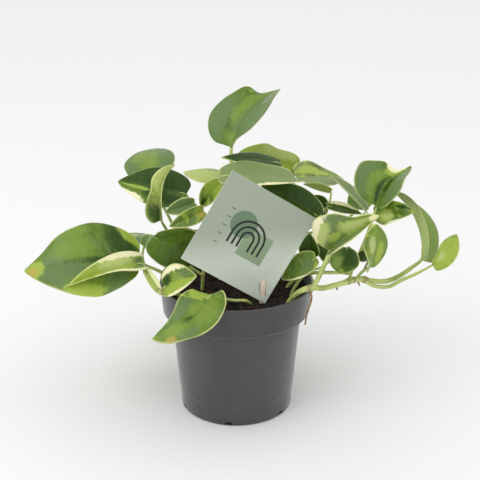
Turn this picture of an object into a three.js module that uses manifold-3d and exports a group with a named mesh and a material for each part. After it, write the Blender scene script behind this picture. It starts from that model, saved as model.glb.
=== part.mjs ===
// A trailing marbled-leaf aroid in a nursery pot, with a plain square label card on a wooden pick.
// Millimetres, +Z up. The origin is the centre of the pot's foot; the card faces -Y.
import * as THREE from 'three';
import * as BufferGeometryUtils from 'three/addons/utils/BufferGeometryUtils.js';
import Module from 'manifold-3d';

const wasm = await Module();
wasm.setup();

// Driving dimensions of the pot
const POT_HEIGHT = 105;
const RIM_RADIUS = 60;
const COLLAR_HEIGHT = 23.6;
const COLLAR_FOOT_RADIUS = 57.8;
const BODY_TOP_RADIUS = 51.4;
const BASE_RADIUS = 44.5;
const WALL = 1.4;
const FLOOR = 4.4;
const STEP_HEIGHT = 17;
const STEP_DEPTH = 0.5;
const POT_SEGMENTS = 48;
const DRAIN_COUNT = 6;
const DRAIN_WIDTH = 6;
const DRAIN_TOP = 3.2;
const DRAIN_LIP = 0.7;
const DRAIN_INNER_RADIUS = 33;
const DRAIN_HOLE_RADIUS = 2.5;
const DRAIN_HOLE_SIDES = 6;
const DRAIN_TURN = 7.5;

// Soil
const SOIL_LEVEL = 97;
const SOIL_GAP = 0.3;
const SOIL_LUMP = 1.2;
const SOIL_SEED = 7;
const SOIL_SEGMENTS = 48;
const SOIL_RINGS = 5;
const BORE_GAP = 0.5;
const ROOT_DEPTH = 74;

// Label card and its pick
const CARD_SIDE = 75;
const CARD_THICKNESS = 0.7;
const CARD_CENTRE = [9.7, -27.3, 149.8];
const CARD_ROLL = 32.8;
const CARD_LEAN = 5.8;
const CARD_YAW = 12.7;
const SLOT_WIDTH = 4.8;
const SLOT_LENGTH = 11;
const SLOT_CENTRE = [9.6, -41];
const PICK_WIDTH = 4;
const PICK_THICKNESS = 1.2;
const PICK_ABOVE_SLOT = 7.6;
const PICK_BELOW_SLOT = 40;
const PICK_TILT = 8.2;

// Leaves and stems
const BLADE_THICKNESS = 0.8;
const BROAD_WIDTH = 34;
const SMALL_WIDTH = 22;
const STEM_SIDES = 6;
const PETIOLE_SIDES = 4;
const TUBE_STEP = 14;
const PETIOLE_TIP_RADIUS = 0.6;
const STALK_DROP = 0.15;
const STALK_SINK = [0.01, 0.14];
const STALK_RADIUS = 1.2;

// The blade's outline: how its width rises and falls, its basal lobes, its ribs and its margin's ripple
const WIDTH_RISE = 0.52;
const WIDTH_FALL = 0.92;
const LOBE = 0.07;
const LOBE_PLACE = 0.06;
const LOBE_SPREAD = 0.12;
const LOBE_START = 0.03;
const RIB_LAG = 1.3;
const RIB_BEND = 1.2;
const ROW_CROWDING = 1.4;
const RIPPLE_COUNT = 1.5;
const RIPPLE_LAG = 2.1;
const RIPPLE_RISE = 5;

// Where the margin grew out of the plain shape: how far along that reaches, and how it fades at the ends
const NUDGE_LENGTH = 0.15;
const NUDGE_START = 0.02;
const NUDGE_END = 0.03;

const radians = THREE.MathUtils.degToRad;
const vector = (xyz) => new THREE.Vector3(...xyz);

// Solids and booleans
function toSolid(geometry) {
  const bare = geometry.index ? geometry.toNonIndexed() : geometry.clone();
  bare.deleteAttribute('normal');
  bare.deleteAttribute('uv');
  const merged = BufferGeometryUtils.mergeVertices(bare, 1e-4);
  return new wasm.Manifold(new wasm.Mesh({
    numProp: 3,
    vertProperties: new Float32Array(merged.attributes.position.array),
    triVerts: new Uint32Array(merged.index.array),
  }));
}

function toGeometry(solid) {
  const mesh = solid.getMesh();
  const geometry = new THREE.BufferGeometry();
  geometry.setAttribute('position', new THREE.BufferAttribute(mesh.vertProperties, 3));
  geometry.setIndex(new THREE.BufferAttribute(mesh.triVerts, 1));
  geometry.computeVertexNormals();
  return geometry;
}

function indexedGeometry(points, faces) {
  const geometry = new THREE.BufferGeometry();
  const positions = points.flatMap((point) => [point.x, point.y, point.z]);
  geometry.setAttribute('position', new THREE.Float32BufferAttribute(positions, 3));
  geometry.setIndex(faces.flat());
  return geometry;
}

function fuse(solids) {
  return solids.reduce((body, piece) => body.add(piece));
}

// Seeded draws keep the soil's lumps the same each time
function seededRandom(seed) {
  let state = seed;
  return () => {
    state = (Math.imul(state, 1664525) + 1013904223) >>> 0;
    return state / 4294967296;
  };
}

// A smooth route through hand-set points, with a few steps between each two
function smoothRoute(route) {
  const curve = new THREE.CatmullRomCurve3(route, false, 'centripetal');
  const points = [route[0].clone()];
  for (let leg = 0; leg < route.length - 1; leg += 1) {
    const steps = Math.max(1, Math.round(route[leg].distanceTo(route[leg + 1]) / TUBE_STEP));
    for (let step = 1; step <= steps; step += 1) {
      points.push(curve.getPoint((leg + step / steps) / (route.length - 1)));
    }
  }
  return points;
}

// A round stalk along a smooth route, thinning from one radius to the other
function taperedTube(route, startRadius, endRadius, sides) {
  const centres = smoothRoute(route);
  const last = centres.length - 1;
  const points = [];
  const faces = [];
  let normal = new THREE.Vector3(1, 0, 0);
  centres.forEach((centre, step) => {
    const before = centres[Math.max(0, step - 1)];
    const after = centres[Math.min(last, step + 1)];
    const tangent = after.clone().sub(before).normalize();
    if (step === 0 && Math.abs(tangent.x) > 0.8) normal = new THREE.Vector3(0, 1, 0);
    normal = normal.clone().addScaledVector(tangent, -normal.dot(tangent)).normalize();
    const binormal = tangent.clone().cross(normal);
    const radius = THREE.MathUtils.lerp(startRadius, endRadius, step / last);
    for (let side = 0; side < sides; side += 1) {
      const angle = (2 * Math.PI * side) / sides;
      points.push(centre.clone()
        .addScaledVector(normal, radius * Math.cos(angle))
        .addScaledVector(binormal, radius * Math.sin(angle)));
    }
  });
  for (let step = 0; step < last; step += 1) {
    for (let side = 0; side < sides; side += 1) {
      const next = (side + 1) % sides;
      const near = step * sides;
      const far = near + sides;
      faces.push([near + side, near + next, far + next]);
      faces.push([near + side, far + next, far + side]);
    }
  }
  const end = last * sides;
  for (let side = 1; side < sides - 1; side += 1) {
    faces.push([0, side + 1, side]);
    faces.push([end, end + side, end + side + 1]);
  }
  return toSolid(indexedGeometry(points, faces));
}

// The frame of a blade's midrib: point, tangent, normal and sideways direction at a share of its length
function midribFrame(leaf, share) {
  const base = vector(leaf.base);
  const chord = vector(leaf.tip).sub(base);
  const length = chord.length();
  const along = chord.clone().normalize();
  const face = vector(leaf.face);
  face.addScaledVector(along, -face.dot(along)).normalize();
  const across = along.clone().cross(face);
  const { arch } = leaf;
  const side = leaf.side ?? 0;
  const held = THREE.MathUtils.clamp(share, 0, 1);
  const bow = 4 * held * (1 - held);
  const point = base.addScaledVector(along, length * share)
    .addScaledVector(face, length * arch * bow)
    .addScaledVector(across, length * side * bow);
  const slope = 4 - 8 * held;
  const tangent = along.clone().addScaledVector(face, arch * slope)
    .addScaledVector(across, side * slope).normalize();
  const normal = face.clone().addScaledVector(tangent, -face.dot(tangent)).normalize();
  return { point, normal, sideways: tangent.clone().cross(normal) };
}

// Half the blade's width along its margin, 1 at the widest place: a round base and a drawn-out tip
function marginWidth(share) {
  const widest = (WIDTH_RISE / (WIDTH_RISE + WIDTH_FALL)) ** WIDTH_RISE
    * (WIDTH_FALL / (WIDTH_RISE + WIDTH_FALL)) ** WIDTH_FALL;
  return (share ** WIDTH_RISE * (1 - share) ** WIDTH_FALL) / widest;
}

// Where a rib meets the margin: near the base it is set back, so that two lobes lie behind the stalk
function marginShare(share, lobe) {
  const bulge = Math.exp(-(((share - LOBE_PLACE) / LOBE_SPREAD) ** 2));
  return share - lobe * bulge * Math.min(1, share / LOBE_START);
}

// The ripple of a waved margin, dying out at the base and the tip
function marginRipple(share, hand) {
  const turns = 2 * Math.PI * RIPPLE_COUNT * share;
  return Math.sin(turns + (hand > 0 ? RIPPLE_LAG : 0)) * Math.min(1, RIPPLE_RISE * share) * (1 - share);
}

// A leaf's own irregular growth moves the blade near a few places, to the right, up and to the front
function grownPoint(leaf, share, across, point) {
  const ends = Math.min(1, share / NUDGE_START) * Math.min(1, (1 - share) / NUDGE_END);
  for (const [along, side, right, up, length = NUDGE_LENGTH, front = 0] of leaf.nudges ?? []) {
    const near = Math.exp(-(((share - along) / length) ** 2)) * Math.max(0, 1 - Math.abs(across - side));
    point.add(new THREE.Vector3(right, -front, up).multiplyScalar(ends * near));
  }
  return point;
}

// A point of the blade's middle surface; share runs base to tip, across runs -1 to 1 between the margins
function bladePoint(leaf, share, across) {
  const reach = Math.abs(across);
  const hand = Math.sign(across);
  const ribShare = share ** RIB_LAG;
  const outer = marginShare(share, leaf.lobe ?? LOBE);
  const frame = midribFrame(leaf, ribShare + (outer - ribShare) * reach ** RIB_BEND);
  const half = (leaf.width / 2) * marginWidth(share) * (1 + (leaf.skew ?? 0) * hand);
  const fold = radians(leaf.fold);
  const curl = radians(leaf.rim - leaf.fold);
  const outward = (Math.sin(fold + curl * reach) - Math.sin(fold)) / curl;
  const upward = (Math.cos(fold) - Math.cos(fold + curl * reach)) / curl;
  const ripple = (leaf.wave ?? 0) * leaf.width * reach ** 2 * marginRipple(share, hand);
  return grownPoint(leaf, share, across, frame.point
    .addScaledVector(frame.sideways, hand * outward * half)
    .addScaledVector(frame.normal, upward * half + ripple));
}

// A blade as a thin closed sheet, split into triangles alike on both faces
function bladeSolid(leaf) {
  const rows = leaf.width > SMALL_WIDTH ? 7 : 5;
  const reach = leaf.width > BROAD_WIDTH ? 3 : 2;
  const columns = 2 * reach + 1;
  const middle = [vector(leaf.base)];
  for (let row = 1; row < rows; row += 1) {
    for (let column = -reach; column <= reach; column += 1) {
      middle.push(bladePoint(leaf, (row / rows) ** ROW_CROWDING, column / reach));
    }
  }
  middle.push(vector(leaf.tip));
  const tip = middle.length - 1;
  const at = (row, column) => 1 + (row - 1) * columns + column;
  const sheet = [];
  for (let column = 0; column < columns - 1; column += 1) {
    sheet.push([0, at(1, column), at(1, column + 1)]);
    sheet.push([at(rows - 1, column), tip, at(rows - 1, column + 1)]);
    for (let row = 1; row < rows - 1; row += 1) {
      const near = at(row, column);
      const far = at(row + 1, column);
      if (column < reach) {
        sheet.push([near, far, near + 1], [far, far + 1, near + 1]);
      } else {
        sheet.push([near, far, far + 1], [near, far + 1, near + 1]);
      }
    }
  }
  const normals = middle.map(() => new THREE.Vector3());
  for (const [first, second, third] of sheet) {
    const edge = middle[second].clone().sub(middle[first]);
    const facing = edge.cross(middle[third].clone().sub(middle[first]));
    [first, second, third].forEach((corner) => normals[corner].add(facing));
  }
  normals.forEach((normal) => normal.normalize());
  const offset = (distance) => middle.map((point, index) => point.clone()
    .addScaledVector(normals[index], distance));
  const count = middle.length;
  const faces = sheet.map((face) => [...face]);
  faces.push(...sheet.map(([first, second, third]) => [first + count, third + count, second + count]));
  const rim = [0];
  for (let row = 1; row < rows; row += 1) rim.push(at(row, 0));
  rim.push(tip);
  for (let row = rows - 1; row > 0; row -= 1) rim.push(at(row, columns - 1));
  rim.forEach((corner, index) => {
    const next = rim[(index + 1) % rim.length];
    faces.push([corner, corner + count, next + count], [corner, next + count, next]);
  });
  const half = BLADE_THICKNESS / 2;
  return toSolid(indexedGeometry([...offset(half), ...offset(-half)], faces));
}

// A leaf: its blade and the stalk that runs into the underside of its midrib
function leafSolid(leaf) {
  const sunk = STALK_SINK.map((share) => {
    const { point, normal } = midribFrame(leaf, share);
    return point.addScaledVector(normal, -STALK_DROP);
  });
  const route = [...leaf.stalk.map(vector), ...sunk];
  const stalk = taperedTube(route, leaf.stalkRadius ?? STALK_RADIUS, PETIOLE_TIP_RADIUS, PETIOLE_SIDES);
  return bladeSolid(leaf).add(stalk);
}

// One rooted stem with all that grows on it. The first point of each stem lies in the soil
const LEAFY_STEMS = {
  // Reaches over the left of the rim with the largest leaf
  vine_left: {
    stems: [
      { route: [[-38, -20, ROOT_DEPTH], [-39, -22, 96], [-48, -32, 108], [-57, -33, 109], [-63, -25, 112],
          [-68, -19, 118], [-72, -12, 123]], radius: 2, endRadius: 1.5 },
      { route: [[-42, 2, ROOT_DEPTH], [-44, 2, 98], [-53, -3, 109], [-62, -6, 116], [-72, -12, 122.5]],
        radius: 1.5, endRadius: 1.3 },
    ],
    leaves: [
      { base: [-57, -33.5, 107.5], tip: [-73, -12.5, 124.5], face: [0.15, -0.8, 0.55], width: 9, fold: 32,
        rim: 24, arch: 0.01, lobe: 0, stalk: [[-54, -33, 108.5]] },
      { base: [-74, -8, 124], tip: [-161, -24, 122], face: [0.1, -0.67, 0.74], width: 64, fold: 8, rim: 0,
        arch: 0.09, wave: 0.02, stalk: [[-68, -18, 118], [-71, -12, 122]], stalkRadius: 1.5,
        nudges: [[0.08, -1, -7, 2.4, 0.1], [0.22, -1, -1.5, 3, 0.12], [0.87, 1, 1.2, -2.2, 0.12],
          [0.08, 1, -2.4, 0, 0.1]] },
      { base: [-72, -15, 125], tip: [-126, -40, 116], face: [0.1, -0.5, 0.86], width: 26, fold: 48, rim: 43,
        arch: 0.07, stalk: [[-66, -22, 115], [-70, -16, 122]], stalkRadius: 1.3,
        nudges: [[0.6, 1, 0.8, -2.4, 0.35], [0.12, -1, 0, -4.7, 0.2]] },
      { base: [-54, -29, 111], tip: [-29, -33, 122], face: [-0.47, -0.54, 0.7], width: 29, fold: 19,
        rim: 11, arch: 0.09, stalk: [[-58, -32, 109], [-56, -30, 110]] },
      { base: [-71, -8, 136], tip: [-64, -11, 147], face: [-0.7, -0.5, 0.4], width: 11, fold: 15, rim: 5,
        arch: 0.1, stalk: [[-70, -13, 121], [-72, -9, 129]], stalkRadius: 1 },
    ],
  },
  // Leans over the front of the rim
  vine_front: {
    stems: [
      { route: [[13, -26, ROOT_DEPTH], [12, -27, 94], [8, -31, 100.5], [-2, -33, 102], [-11, -37, 105],
          [-15, -41, 108]], radius: 1.3, endRadius: 1.2 },
    ],
    leaves: [
      { base: [-19, -46, 112], tip: [-61, -77, 91], face: [0, -0.7, 0.7], width: 36, fold: 12, rim: 0,
        arch: 0.16, side: -0.12, wave: 0.02, lobe: 0.12, stalk: [[-11, -37, 105], [-16, -42, 110]],
        nudges: [[0.65, 1, 2.8, -4.7, 0.28], [0.05, 1, -2.7, -4.7, 0.06], [0.03, -1, -1.6, 4, 0.05],
          [0.85, -1, 0, -1.6, 0.12]] },
    ],
  },
  // Three leaves behind the left of the card
  vine_left_back: {
    stems: [
      { route: [[-34, 18, ROOT_DEPTH], [-36, 17, 96], [-42, 15, 120], [-46, 16, 136]], radius: 1.8,
        endRadius: 1.4 },
    ],
    leaves: [
      { base: [-71, 50, 173], tip: [-70, 98, 185], face: [-0.16, -0.22, 0.96], width: 43, fold: 6, rim: -5,
        arch: 0.11, wave: 0.02, stalk: [[-45, 16, 132], [-54, 28, 148], [-66, 42, 165]] },
      { base: [-39, 23, 168], tip: [-94, 31, 176], face: [0.03, -0.57, 0.82], width: 40, fold: 8, rim: 2,
        arch: 0.03, wave: 0.015, stalk: [[-45, 16, 132], [-42, 19, 148], [-37, 22, 163]],
        nudges: [[0.08, -1, 0, 3, 0.08]] },
      { base: [-58, 4, 153], tip: [-48, 35, 189], face: [-0.34, -0.67, 0.66], width: 24, fold: 62, rim: 54,
        arch: 0.15, side: -0.05, stalk: [[-44, 15, 128], [-51, 10, 138], [-56, 6, 148]],
        nudges: [[0.13, -1, -3.5, -0.8, 0.1], [0.4, -1, 2.3, 0, 0.1]] },
    ],
  },
  // Low leaf behind the card's left corner and two small ones above it
  vine_left_middle: {
    stems: [
      { route: [[-27, -2, ROOT_DEPTH], [-27, 0, 96], [-25, 4, 120], [-24, 5, 142]], radius: 1.5,
        endRadius: 1.2 },
    ],
    leaves: [
      { base: [-63, -14, 146], tip: [-18, 15, 120], face: [0.41, -0.86, -0.3], width: 39, fold: 18, rim: 6,
        arch: 0.04, stalk: [[-26, 2, 108], [-44, 4, 120], [-57, -4, 138]],
        nudges: [[0.07, -1, 0, -3.5, 0.12]] },
      { base: [-32, 4, 167], tip: [-55, 1, 160], face: [0.12, -0.9, 0.4], width: 14, fold: 30, rim: 22,
        arch: 0.07, stalk: [[-24, 5, 140], [-27, 5, 156]], stalkRadius: 1 },
      { base: [-25, -3, 163], tip: [-51, -11, 153], face: [0.2, -0.9, 0.3], width: 15, fold: 30, rim: 22,
        arch: 0.1, stalk: [[-24, 5, 138], [-23, 1, 154]], stalkRadius: 1 },
    ],
  },
  // Behind the card's upper left edge
  vine_card_left: {
    stems: [
      { route: [[-12, 20, ROOT_DEPTH], [-13, 21, 96], [-12, 22, 130], [-11, 21, 152]], radius: 1.5,
        endRadius: 1.2 },
    ],
    leaves: [
      { base: [-9, 31, 178], tip: [-43, 47, 179], face: [0, -0.11, 0.99], width: 30, fold: 4, rim: -14,
        arch: 0.05, stalk: [[-11, 21, 150], [-9, 26, 168]] },
      { base: [-11, 8, 183], tip: [-28, 18, 159], face: [-0.52, -0.85, 0.1], width: 19, fold: 40, rim: 34,
        arch: 0.02, stalk: [[-11, 21, 148], [-9, 13, 170]], stalkRadius: 1 },
    ],
  },
  // The tallest leaf and the two below it at the back
  vine_top: {
    stems: [
      { route: [[4, 28, ROOT_DEPTH], [3, 28, 96], [1, 28, 130], [-2, 28, 165]], radius: 2, endRadius: 1.5 },
    ],
    leaves: [
      { base: [-4, 26, 205], tip: [35, 55, 245], face: [-0.44, -0.45, 0.78], width: 56, fold: 38, rim: 26,
        arch: 0.06, stalk: [[-2, 28, 160], [-3, 28, 185]], stalkRadius: 1.8,
        nudges: [[0.5, 0, -4.8, 4.1, 0.35], [0.2, -1, -2.8, 0], [0.7, -1, 0, 2.4, 0.09],
          [0.89, -1, -4.9, -5, 0.1], [0.45, 1, 1, -1, 0.2], [0.08, 1, -1.6, 4.5, 0.1]] },
      { base: [48, 42, 184], tip: [1, 71, 188], face: [-0.4, -0.7, 0.57], width: 32, fold: 32, rim: 30,
        arch: 0.06, stalk: [[2, 28, 118], [18, 40, 134], [40, 46, 164]],
        nudges: [[0.3, 1, -1.2, -4.4, 0.16], [0.65, 1, 0, -1.6, 0.2]] },
      { base: [34, 25, 193], tip: [-12, 13, 200.5], face: [0.15, -0.3, 0.94], width: 20, fold: 4, rim: -8,
        arch: 0.03, stalk: [[0, 28, 138], [18, 32, 152], [33, 31, 176]] },
    ],
  },
  // The long leaf over the card's top and the dark one under it
  vine_centre: {
    stems: [
      { route: [[10, -4, ROOT_DEPTH], [9, -3, 96], [4, 0, 130], [-4, 0, 160]], radius: 1.6, endRadius: 1.2 },
    ],
    leaves: [
      { base: [-11, -2, 190], tip: [52, -5, 187], face: [0.04, -0.35, 0.94], width: 34, fold: 14, rim: 3,
        arch: 0.06, wave: 0.015, stalk: [[-3, 0, 155], [-9, 0, 176]], nudges: [[0.5, -1, 0, -2.6, 0.25],
          [0.92, -1, -2.4, -2.4, 0.07]] },
      { base: [63, 4, 156], tip: [18.5, 18, 178.5], face: [0, -0.5, 0.86], width: 26, fold: 36, rim: 32,
        arch: 0.04, stalk: [[8, -2, 104], [30, 2, 118], [54, 4, 144]], stalkRadius: 1.4,
        nudges: [[0.84, -1, -0.8, -3.5, 0.14]] },
    ],
  },
  // Leaves low down beside the card's right corner
  vine_card_right: {
    stems: [
      { route: [[41, -13, ROOT_DEPTH], [42, -13, 96], [49, -11, 110], [56, -9, 117]], radius: 1.5,
        endRadius: 1.2 },
    ],
    leaves: [
      { base: [61, -15, 129], tip: [35, -12, 110], face: [-0.49, -0.71, 0.5], width: 21, fold: 22, rim: 14,
        arch: 0.05, stalk: [[54, -10, 115], [61, -11, 122]] },
      { base: [58, -4, 128], tip: [56, -7, 147], face: [-0.3, -0.9, -0.2], width: 18, fold: 25, rim: 20,
        arch: 0.1, stalk: [[52, -10, 113], [58, -5, 121]], stalkRadius: 1 },
      { base: [72, -6, 123], tip: [63, 2, 140], face: [0.06, -0.91, 0.4], width: 13, fold: 20, rim: 8,
        arch: 0.08, stalk: [[54, -9, 116], [66, -6, 118]], stalkRadius: 1 },
    ],
  },
  // Behind the card's right corner, spreading to the right
  vine_right_back: {
    stems: [
      { route: [[32, 20, ROOT_DEPTH], [33, 20, 96], [41, 23, 118], [50, 24, 134]], radius: 1.8,
        endRadius: 1.4 },
    ],
    leaves: [
      { base: [47, 27, 181], tip: [87, 46, 173], face: [0.3, -0.3, 0.9], width: 32, fold: 22, rim: 14,
        arch: 0.04, stalk: [[41, 23, 118], [40, 26, 145], [44, 27, 170]],
        nudges: [[0.65, -1, -0.8, -2.8, 0.25], [0.45, 1, 0, -2, 0.3]] },
      { base: [74, 20, 172], tip: [52, 21, 177], face: [0.26, 0.6, 0.75], width: 16, fold: 0, rim: -10,
        arch: 0.06, stalk: [[58, 22, 140], [69, 17, 152], [73, 18, 164]], stalkRadius: 1 },
      { base: [103, 24, 154], tip: [73, 26, 183], face: [0.62, -0.2, 0.75], width: 22, fold: 16, rim: 6,
        arch: 0.03, stalk: [[49, 24, 133], [74, 27, 138], [96, 26, 147]] },
      { base: [71, 25, 153], tip: [56, 25, 166], face: [0.43, -0.75, 0.5], width: 16, fold: 10, rim: 2,
        arch: 0.1, stalk: [[49, 24, 133], [62, 26, 143]], stalkRadius: 1 },
      { base: [71, 14, 161], tip: [99, 19, 153], face: [0.36, -0.3, 0.88], width: 15, fold: 13, rim: 0,
        arch: 0.04, stalk: [[49, 23, 133], [60, 16, 146]], stalkRadius: 1 },
    ],
  },
  // Two upright leaves high on the right
  vine_right_high: {
    stems: [
      { route: [[38, 4, ROOT_DEPTH], [40, 4, 96], [52, 2, 108.5], [63, 0, 111], [76, -2, 112], [88, -5, 113]],
        radius: 1.7, endRadius: 1.4 },
    ],
    leaves: [
      { base: [107, 0, 165.5], tip: [135, 17, 193], face: [-0.42, -0.52, 0.75], width: 50, fold: 38,
        rim: 32, arch: 0.03, skew: -0.1, stalk: [[86, -4, 113], [95, -4, 128], [103, -2, 151]],
        stalkRadius: 1.4, nudges: [[0.5, 0, -4, 4, 0.3], [0.45, -1, -2.4, 3.2, 0.14],
          [0.89, -1, -3.9, -6, 0.1], [0.22, -1, -2.4, 0], [0.6, 1, -2.4, 1, 0.2]] },
      { base: [106, 2, 159.5], tip: [136, -8, 164.5], face: [-0.3, -0.74, 0.6], width: 18, fold: 12,
        rim: -2, arch: 0.05, stalk: [[94, -4, 126], [102, 0, 146]], nudges: [[0.25, 1, 0, -2.5, 0.14]] },
    ],
  },
  // The thick runner over the right of the rim
  vine_right: {
    stems: [
      { route: [[38, -24, ROOT_DEPTH], [40, -25, 96], [49, -29, 108], [57, -30, 111], [65, -27, 109.5],
          [73, -22, 109], [82, -18, 110], [94, -14, 111.5], [104, -12, 109]], radius: 2.4, endRadius: 2 },
      { route: [[55, -30, 109], [57, -32, 104], [53.5, -36, 93], [52, -38, 84]], radius: 0.8,
        endRadius: 0.6 },
      { route: [[77, -20, 110], [77, -20, 105]], radius: 0.9, endRadius: 0.6 },
      { route: [[93, -14, 111], [95, -14, 106]], radius: 0.9, endRadius: 0.6 },
    ],
    leaves: [
      { base: [143.5, -6, 124], tip: [124, 29, 168], face: [0.86, -0.15, 0.49], width: 50, fold: 28,
        rim: 20, arch: 0.13, side: -0.03, stalk: [[100, -13, 110], [116, -10, 108], [127, -8, 112],
          [136, -6, 118]], stalkRadius: 2 },
      { base: [150, -14, 123], tip: [171, 3, 142], face: [0.34, -0.85, 0.39], width: 20, fold: 28, rim: 20,
        arch: 0.1, stalk: [[97, -13, 111], [106, -17, 107], [117, -18, 107], [126, -18, 112],
          [140, -16, 118]], stalkRadius: 1.5, nudges: [[0.15, -1, 3, 0, 0.2]] },
      { base: [102, -14, 121], tip: [104, -22, 160], face: [0.7, -0.7, -0.1], width: 27, fold: 16, rim: 2,
        arch: 0.07, stalk: [[91, -15, 111], [97, -12, 117]], nudges: [[0.25, -1, 3.1, 0, 0.25],
          [0.74, -1, -5.5, 0, 0.26]] },
      { base: [69, -34, 142], tip: [101, -57, 178], face: [-0.76, -0.55, 0.34], width: 45, fold: 45,
        rim: 38, arch: 0.09, side: 0.04, stalk: [[56, -30, 109], [60, -31, 116], [66, -32, 131]],
        stalkRadius: 2, nudges: [[0.3, -1, -3.9, 0.4, 0.22], [0.75, -1, 0.8, -4.4, 0.13],
          [0.32, 1, 6.6, 12.5, 0.36, 5], [0.75, 1, 1.5, 2.5]] },
      { base: [83, -26, 142], tip: [79, -19, 118], face: [-0.14, -0.96, -0.25], width: 25, fold: 26,
        rim: 20, arch: 0.02, stalk: [[86, -16, 110], [90, -12, 124], [86.3, -19, 138]] },
      { base: [101, -13, 131], tip: [92, -10, 127], face: [-0.6, -0.7, 0.3], width: 10, fold: 22, rim: 14,
        arch: 0.1, stalk: [[97, -12, 116], [101, -11, 125]], stalkRadius: 0.9 },
    ],
  },
  // Trailing leaves at the back
  vine_back_left: {
    stems: [
      { route: [[-22, 36, ROOT_DEPTH], [-23, 37, 96], [-28, 46, 110], [-36, 56, 112]], radius: 1.8,
        endRadius: 1.4 },
    ],
    leaves: [
      { base: [-38, 66, 96], tip: [-54, 80, 42], face: [-0.4, 0.8, 0.5], width: 40, fold: 14, rim: 4,
        arch: 0.12, wave: 0.02, stalk: [[-33, 52, 112], [-38, 62, 106]] },
      { base: [-70, 34, 122], tip: [-141, 68, 94], face: [-0.2, 0.3, 0.95], width: 50, fold: 12, rim: 2,
        arch: 0.12, wave: 0.02, stalk: [[-28, 46, 110], [-44, 46, 120], [-62, 38, 124]], stalkRadius: 1.5 },
      { base: [-10, 58, 124], tip: [-36, 106, 84], face: [-0.2, 0.5, 0.8], width: 48, fold: 12, rim: 2,
        arch: 0.12, wave: 0.02, stalk: [[-26, 42, 106], [-18, 50, 118]], stalkRadius: 1.5 },
    ],
  },
  vine_back_middle: {
    stems: [
      { route: [[4, 42, ROOT_DEPTH], [4, 43, 96], [6, 54, 109], [6, 62, 110]], radius: 1.7, endRadius: 1.4 },
    ],
    leaves: [
      { base: [2, 70, 96], tip: [-14, 80, 30], face: [0, 1, 0.3], width: 42, fold: 14, rim: 4, arch: 0.1,
        wave: 0.02, stalk: [[6, 58, 110], [5, 67, 105]] },
      { base: [-6, 54, 148], tip: [-2, 100, 154], face: [0, -0.1, 1], width: 34, fold: 16, rim: 6,
        arch: 0.12, stalk: [[5, 50, 106], [2, 48, 126]] },
    ],
  },
  vine_back_right: {
    stems: [
      { route: [[24, 36, ROOT_DEPTH], [25, 37, 96], [32, 46, 109], [42, 54, 112]], radius: 1.8,
        endRadius: 1.4 },
    ],
    leaves: [
      { base: [44, 64, 94], tip: [50, 80, 34], face: [0.4, 0.85, 0.3], width: 38, fold: 14, rim: 4,
        arch: 0.12, wave: 0.02, stalk: [[36, 50, 111], [43, 61, 104]] },
      { base: [20, 60, 134], tip: [46, 112, 90], face: [0.2, 0.5, 0.8], width: 50, fold: 12, rim: 2,
        arch: 0.12, wave: 0.02, stalk: [[28, 42, 104], [22, 52, 122]], stalkRadius: 1.5 },
      { base: [100, 52, 146], tip: [130, 86, 160], face: [-0.2, -0.1, 1], width: 32, fold: 18, rim: 8,
        arch: 0.12, stalk: [[40, 53, 112], [64, 60, 118], [88, 56, 134]], stalkRadius: 1.4 },
    ],
  },
};

function stemSolid(plan) {
  const stems = plan.stems.map((stem) => taperedTube(
    stem.route.map(vector), stem.radius, stem.endRadius, STEM_SIDES));
  return fuse([...stems, ...plan.leaves.map(leafSolid)]);
}

// The nursery pot: one thin wall turned round the axis, with drain channels through its foot
function potSolid() {
  const collarFoot = POT_HEIGHT - COLLAR_HEIGHT;
  const slope = (BODY_TOP_RADIUS - BASE_RADIUS) / collarFoot;
  const radiusAt = (height) => BASE_RADIUS + slope * height;
  const profile = [
    [0, 0],
    [BASE_RADIUS - 1, 0],
    [BASE_RADIUS, 1],
    [radiusAt(STEP_HEIGHT) - STEP_DEPTH, STEP_HEIGHT - STEP_DEPTH],
    [radiusAt(STEP_HEIGHT), STEP_HEIGHT],
    [BODY_TOP_RADIUS, collarFoot],
    [COLLAR_FOOT_RADIUS - 0.8, collarFoot],
    [COLLAR_FOOT_RADIUS, collarFoot + 0.8],
    [RIM_RADIUS - 0.5, POT_HEIGHT - 1],
    [RIM_RADIUS, POT_HEIGHT - 0.4],
    [RIM_RADIUS - 0.4, POT_HEIGHT],
    [RIM_RADIUS - WALL - 0.4, POT_HEIGHT],
    [COLLAR_FOOT_RADIUS - WALL, collarFoot + WALL],
    [BODY_TOP_RADIUS - WALL, collarFoot + WALL],
    [radiusAt(FLOOR) - WALL, FLOOR],
    [0, FLOOR],
  ];
  const lathe = new THREE.LatheGeometry(profile.map(([x, y]) => new THREE.Vector2(x, y)), POT_SEGMENTS);
  lathe.rotateX(Math.PI / 2);
  let pot = toSolid(lathe);
  const channelLength = BASE_RADIUS - DRAIN_INNER_RADIUS + WALL;
  for (let drain = 0; drain < DRAIN_COUNT; drain += 1) {
    const turn = radians(-90 - DRAIN_TURN + (360 * drain) / DRAIN_COUNT);
    const channel = new THREE.BoxGeometry(channelLength, DRAIN_WIDTH, DRAIN_TOP - DRAIN_LIP);
    channel.translate(DRAIN_INNER_RADIUS + channelLength / 2, 0, (DRAIN_TOP + DRAIN_LIP) / 2);
    const hole = new THREE.CylinderGeometry(
      DRAIN_HOLE_RADIUS, DRAIN_HOLE_RADIUS, 4 * FLOOR, DRAIN_HOLE_SIDES);
    hole.rotateX(Math.PI / 2);
    hole.translate(DRAIN_INNER_RADIUS + DRAIN_HOLE_RADIUS + 1, 0, 0);
    for (const cutter of [channel, hole]) {
      cutter.rotateZ(turn);
      pot = pot.subtract(toSolid(cutter));
    }
  }
  return pot;
}

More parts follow.
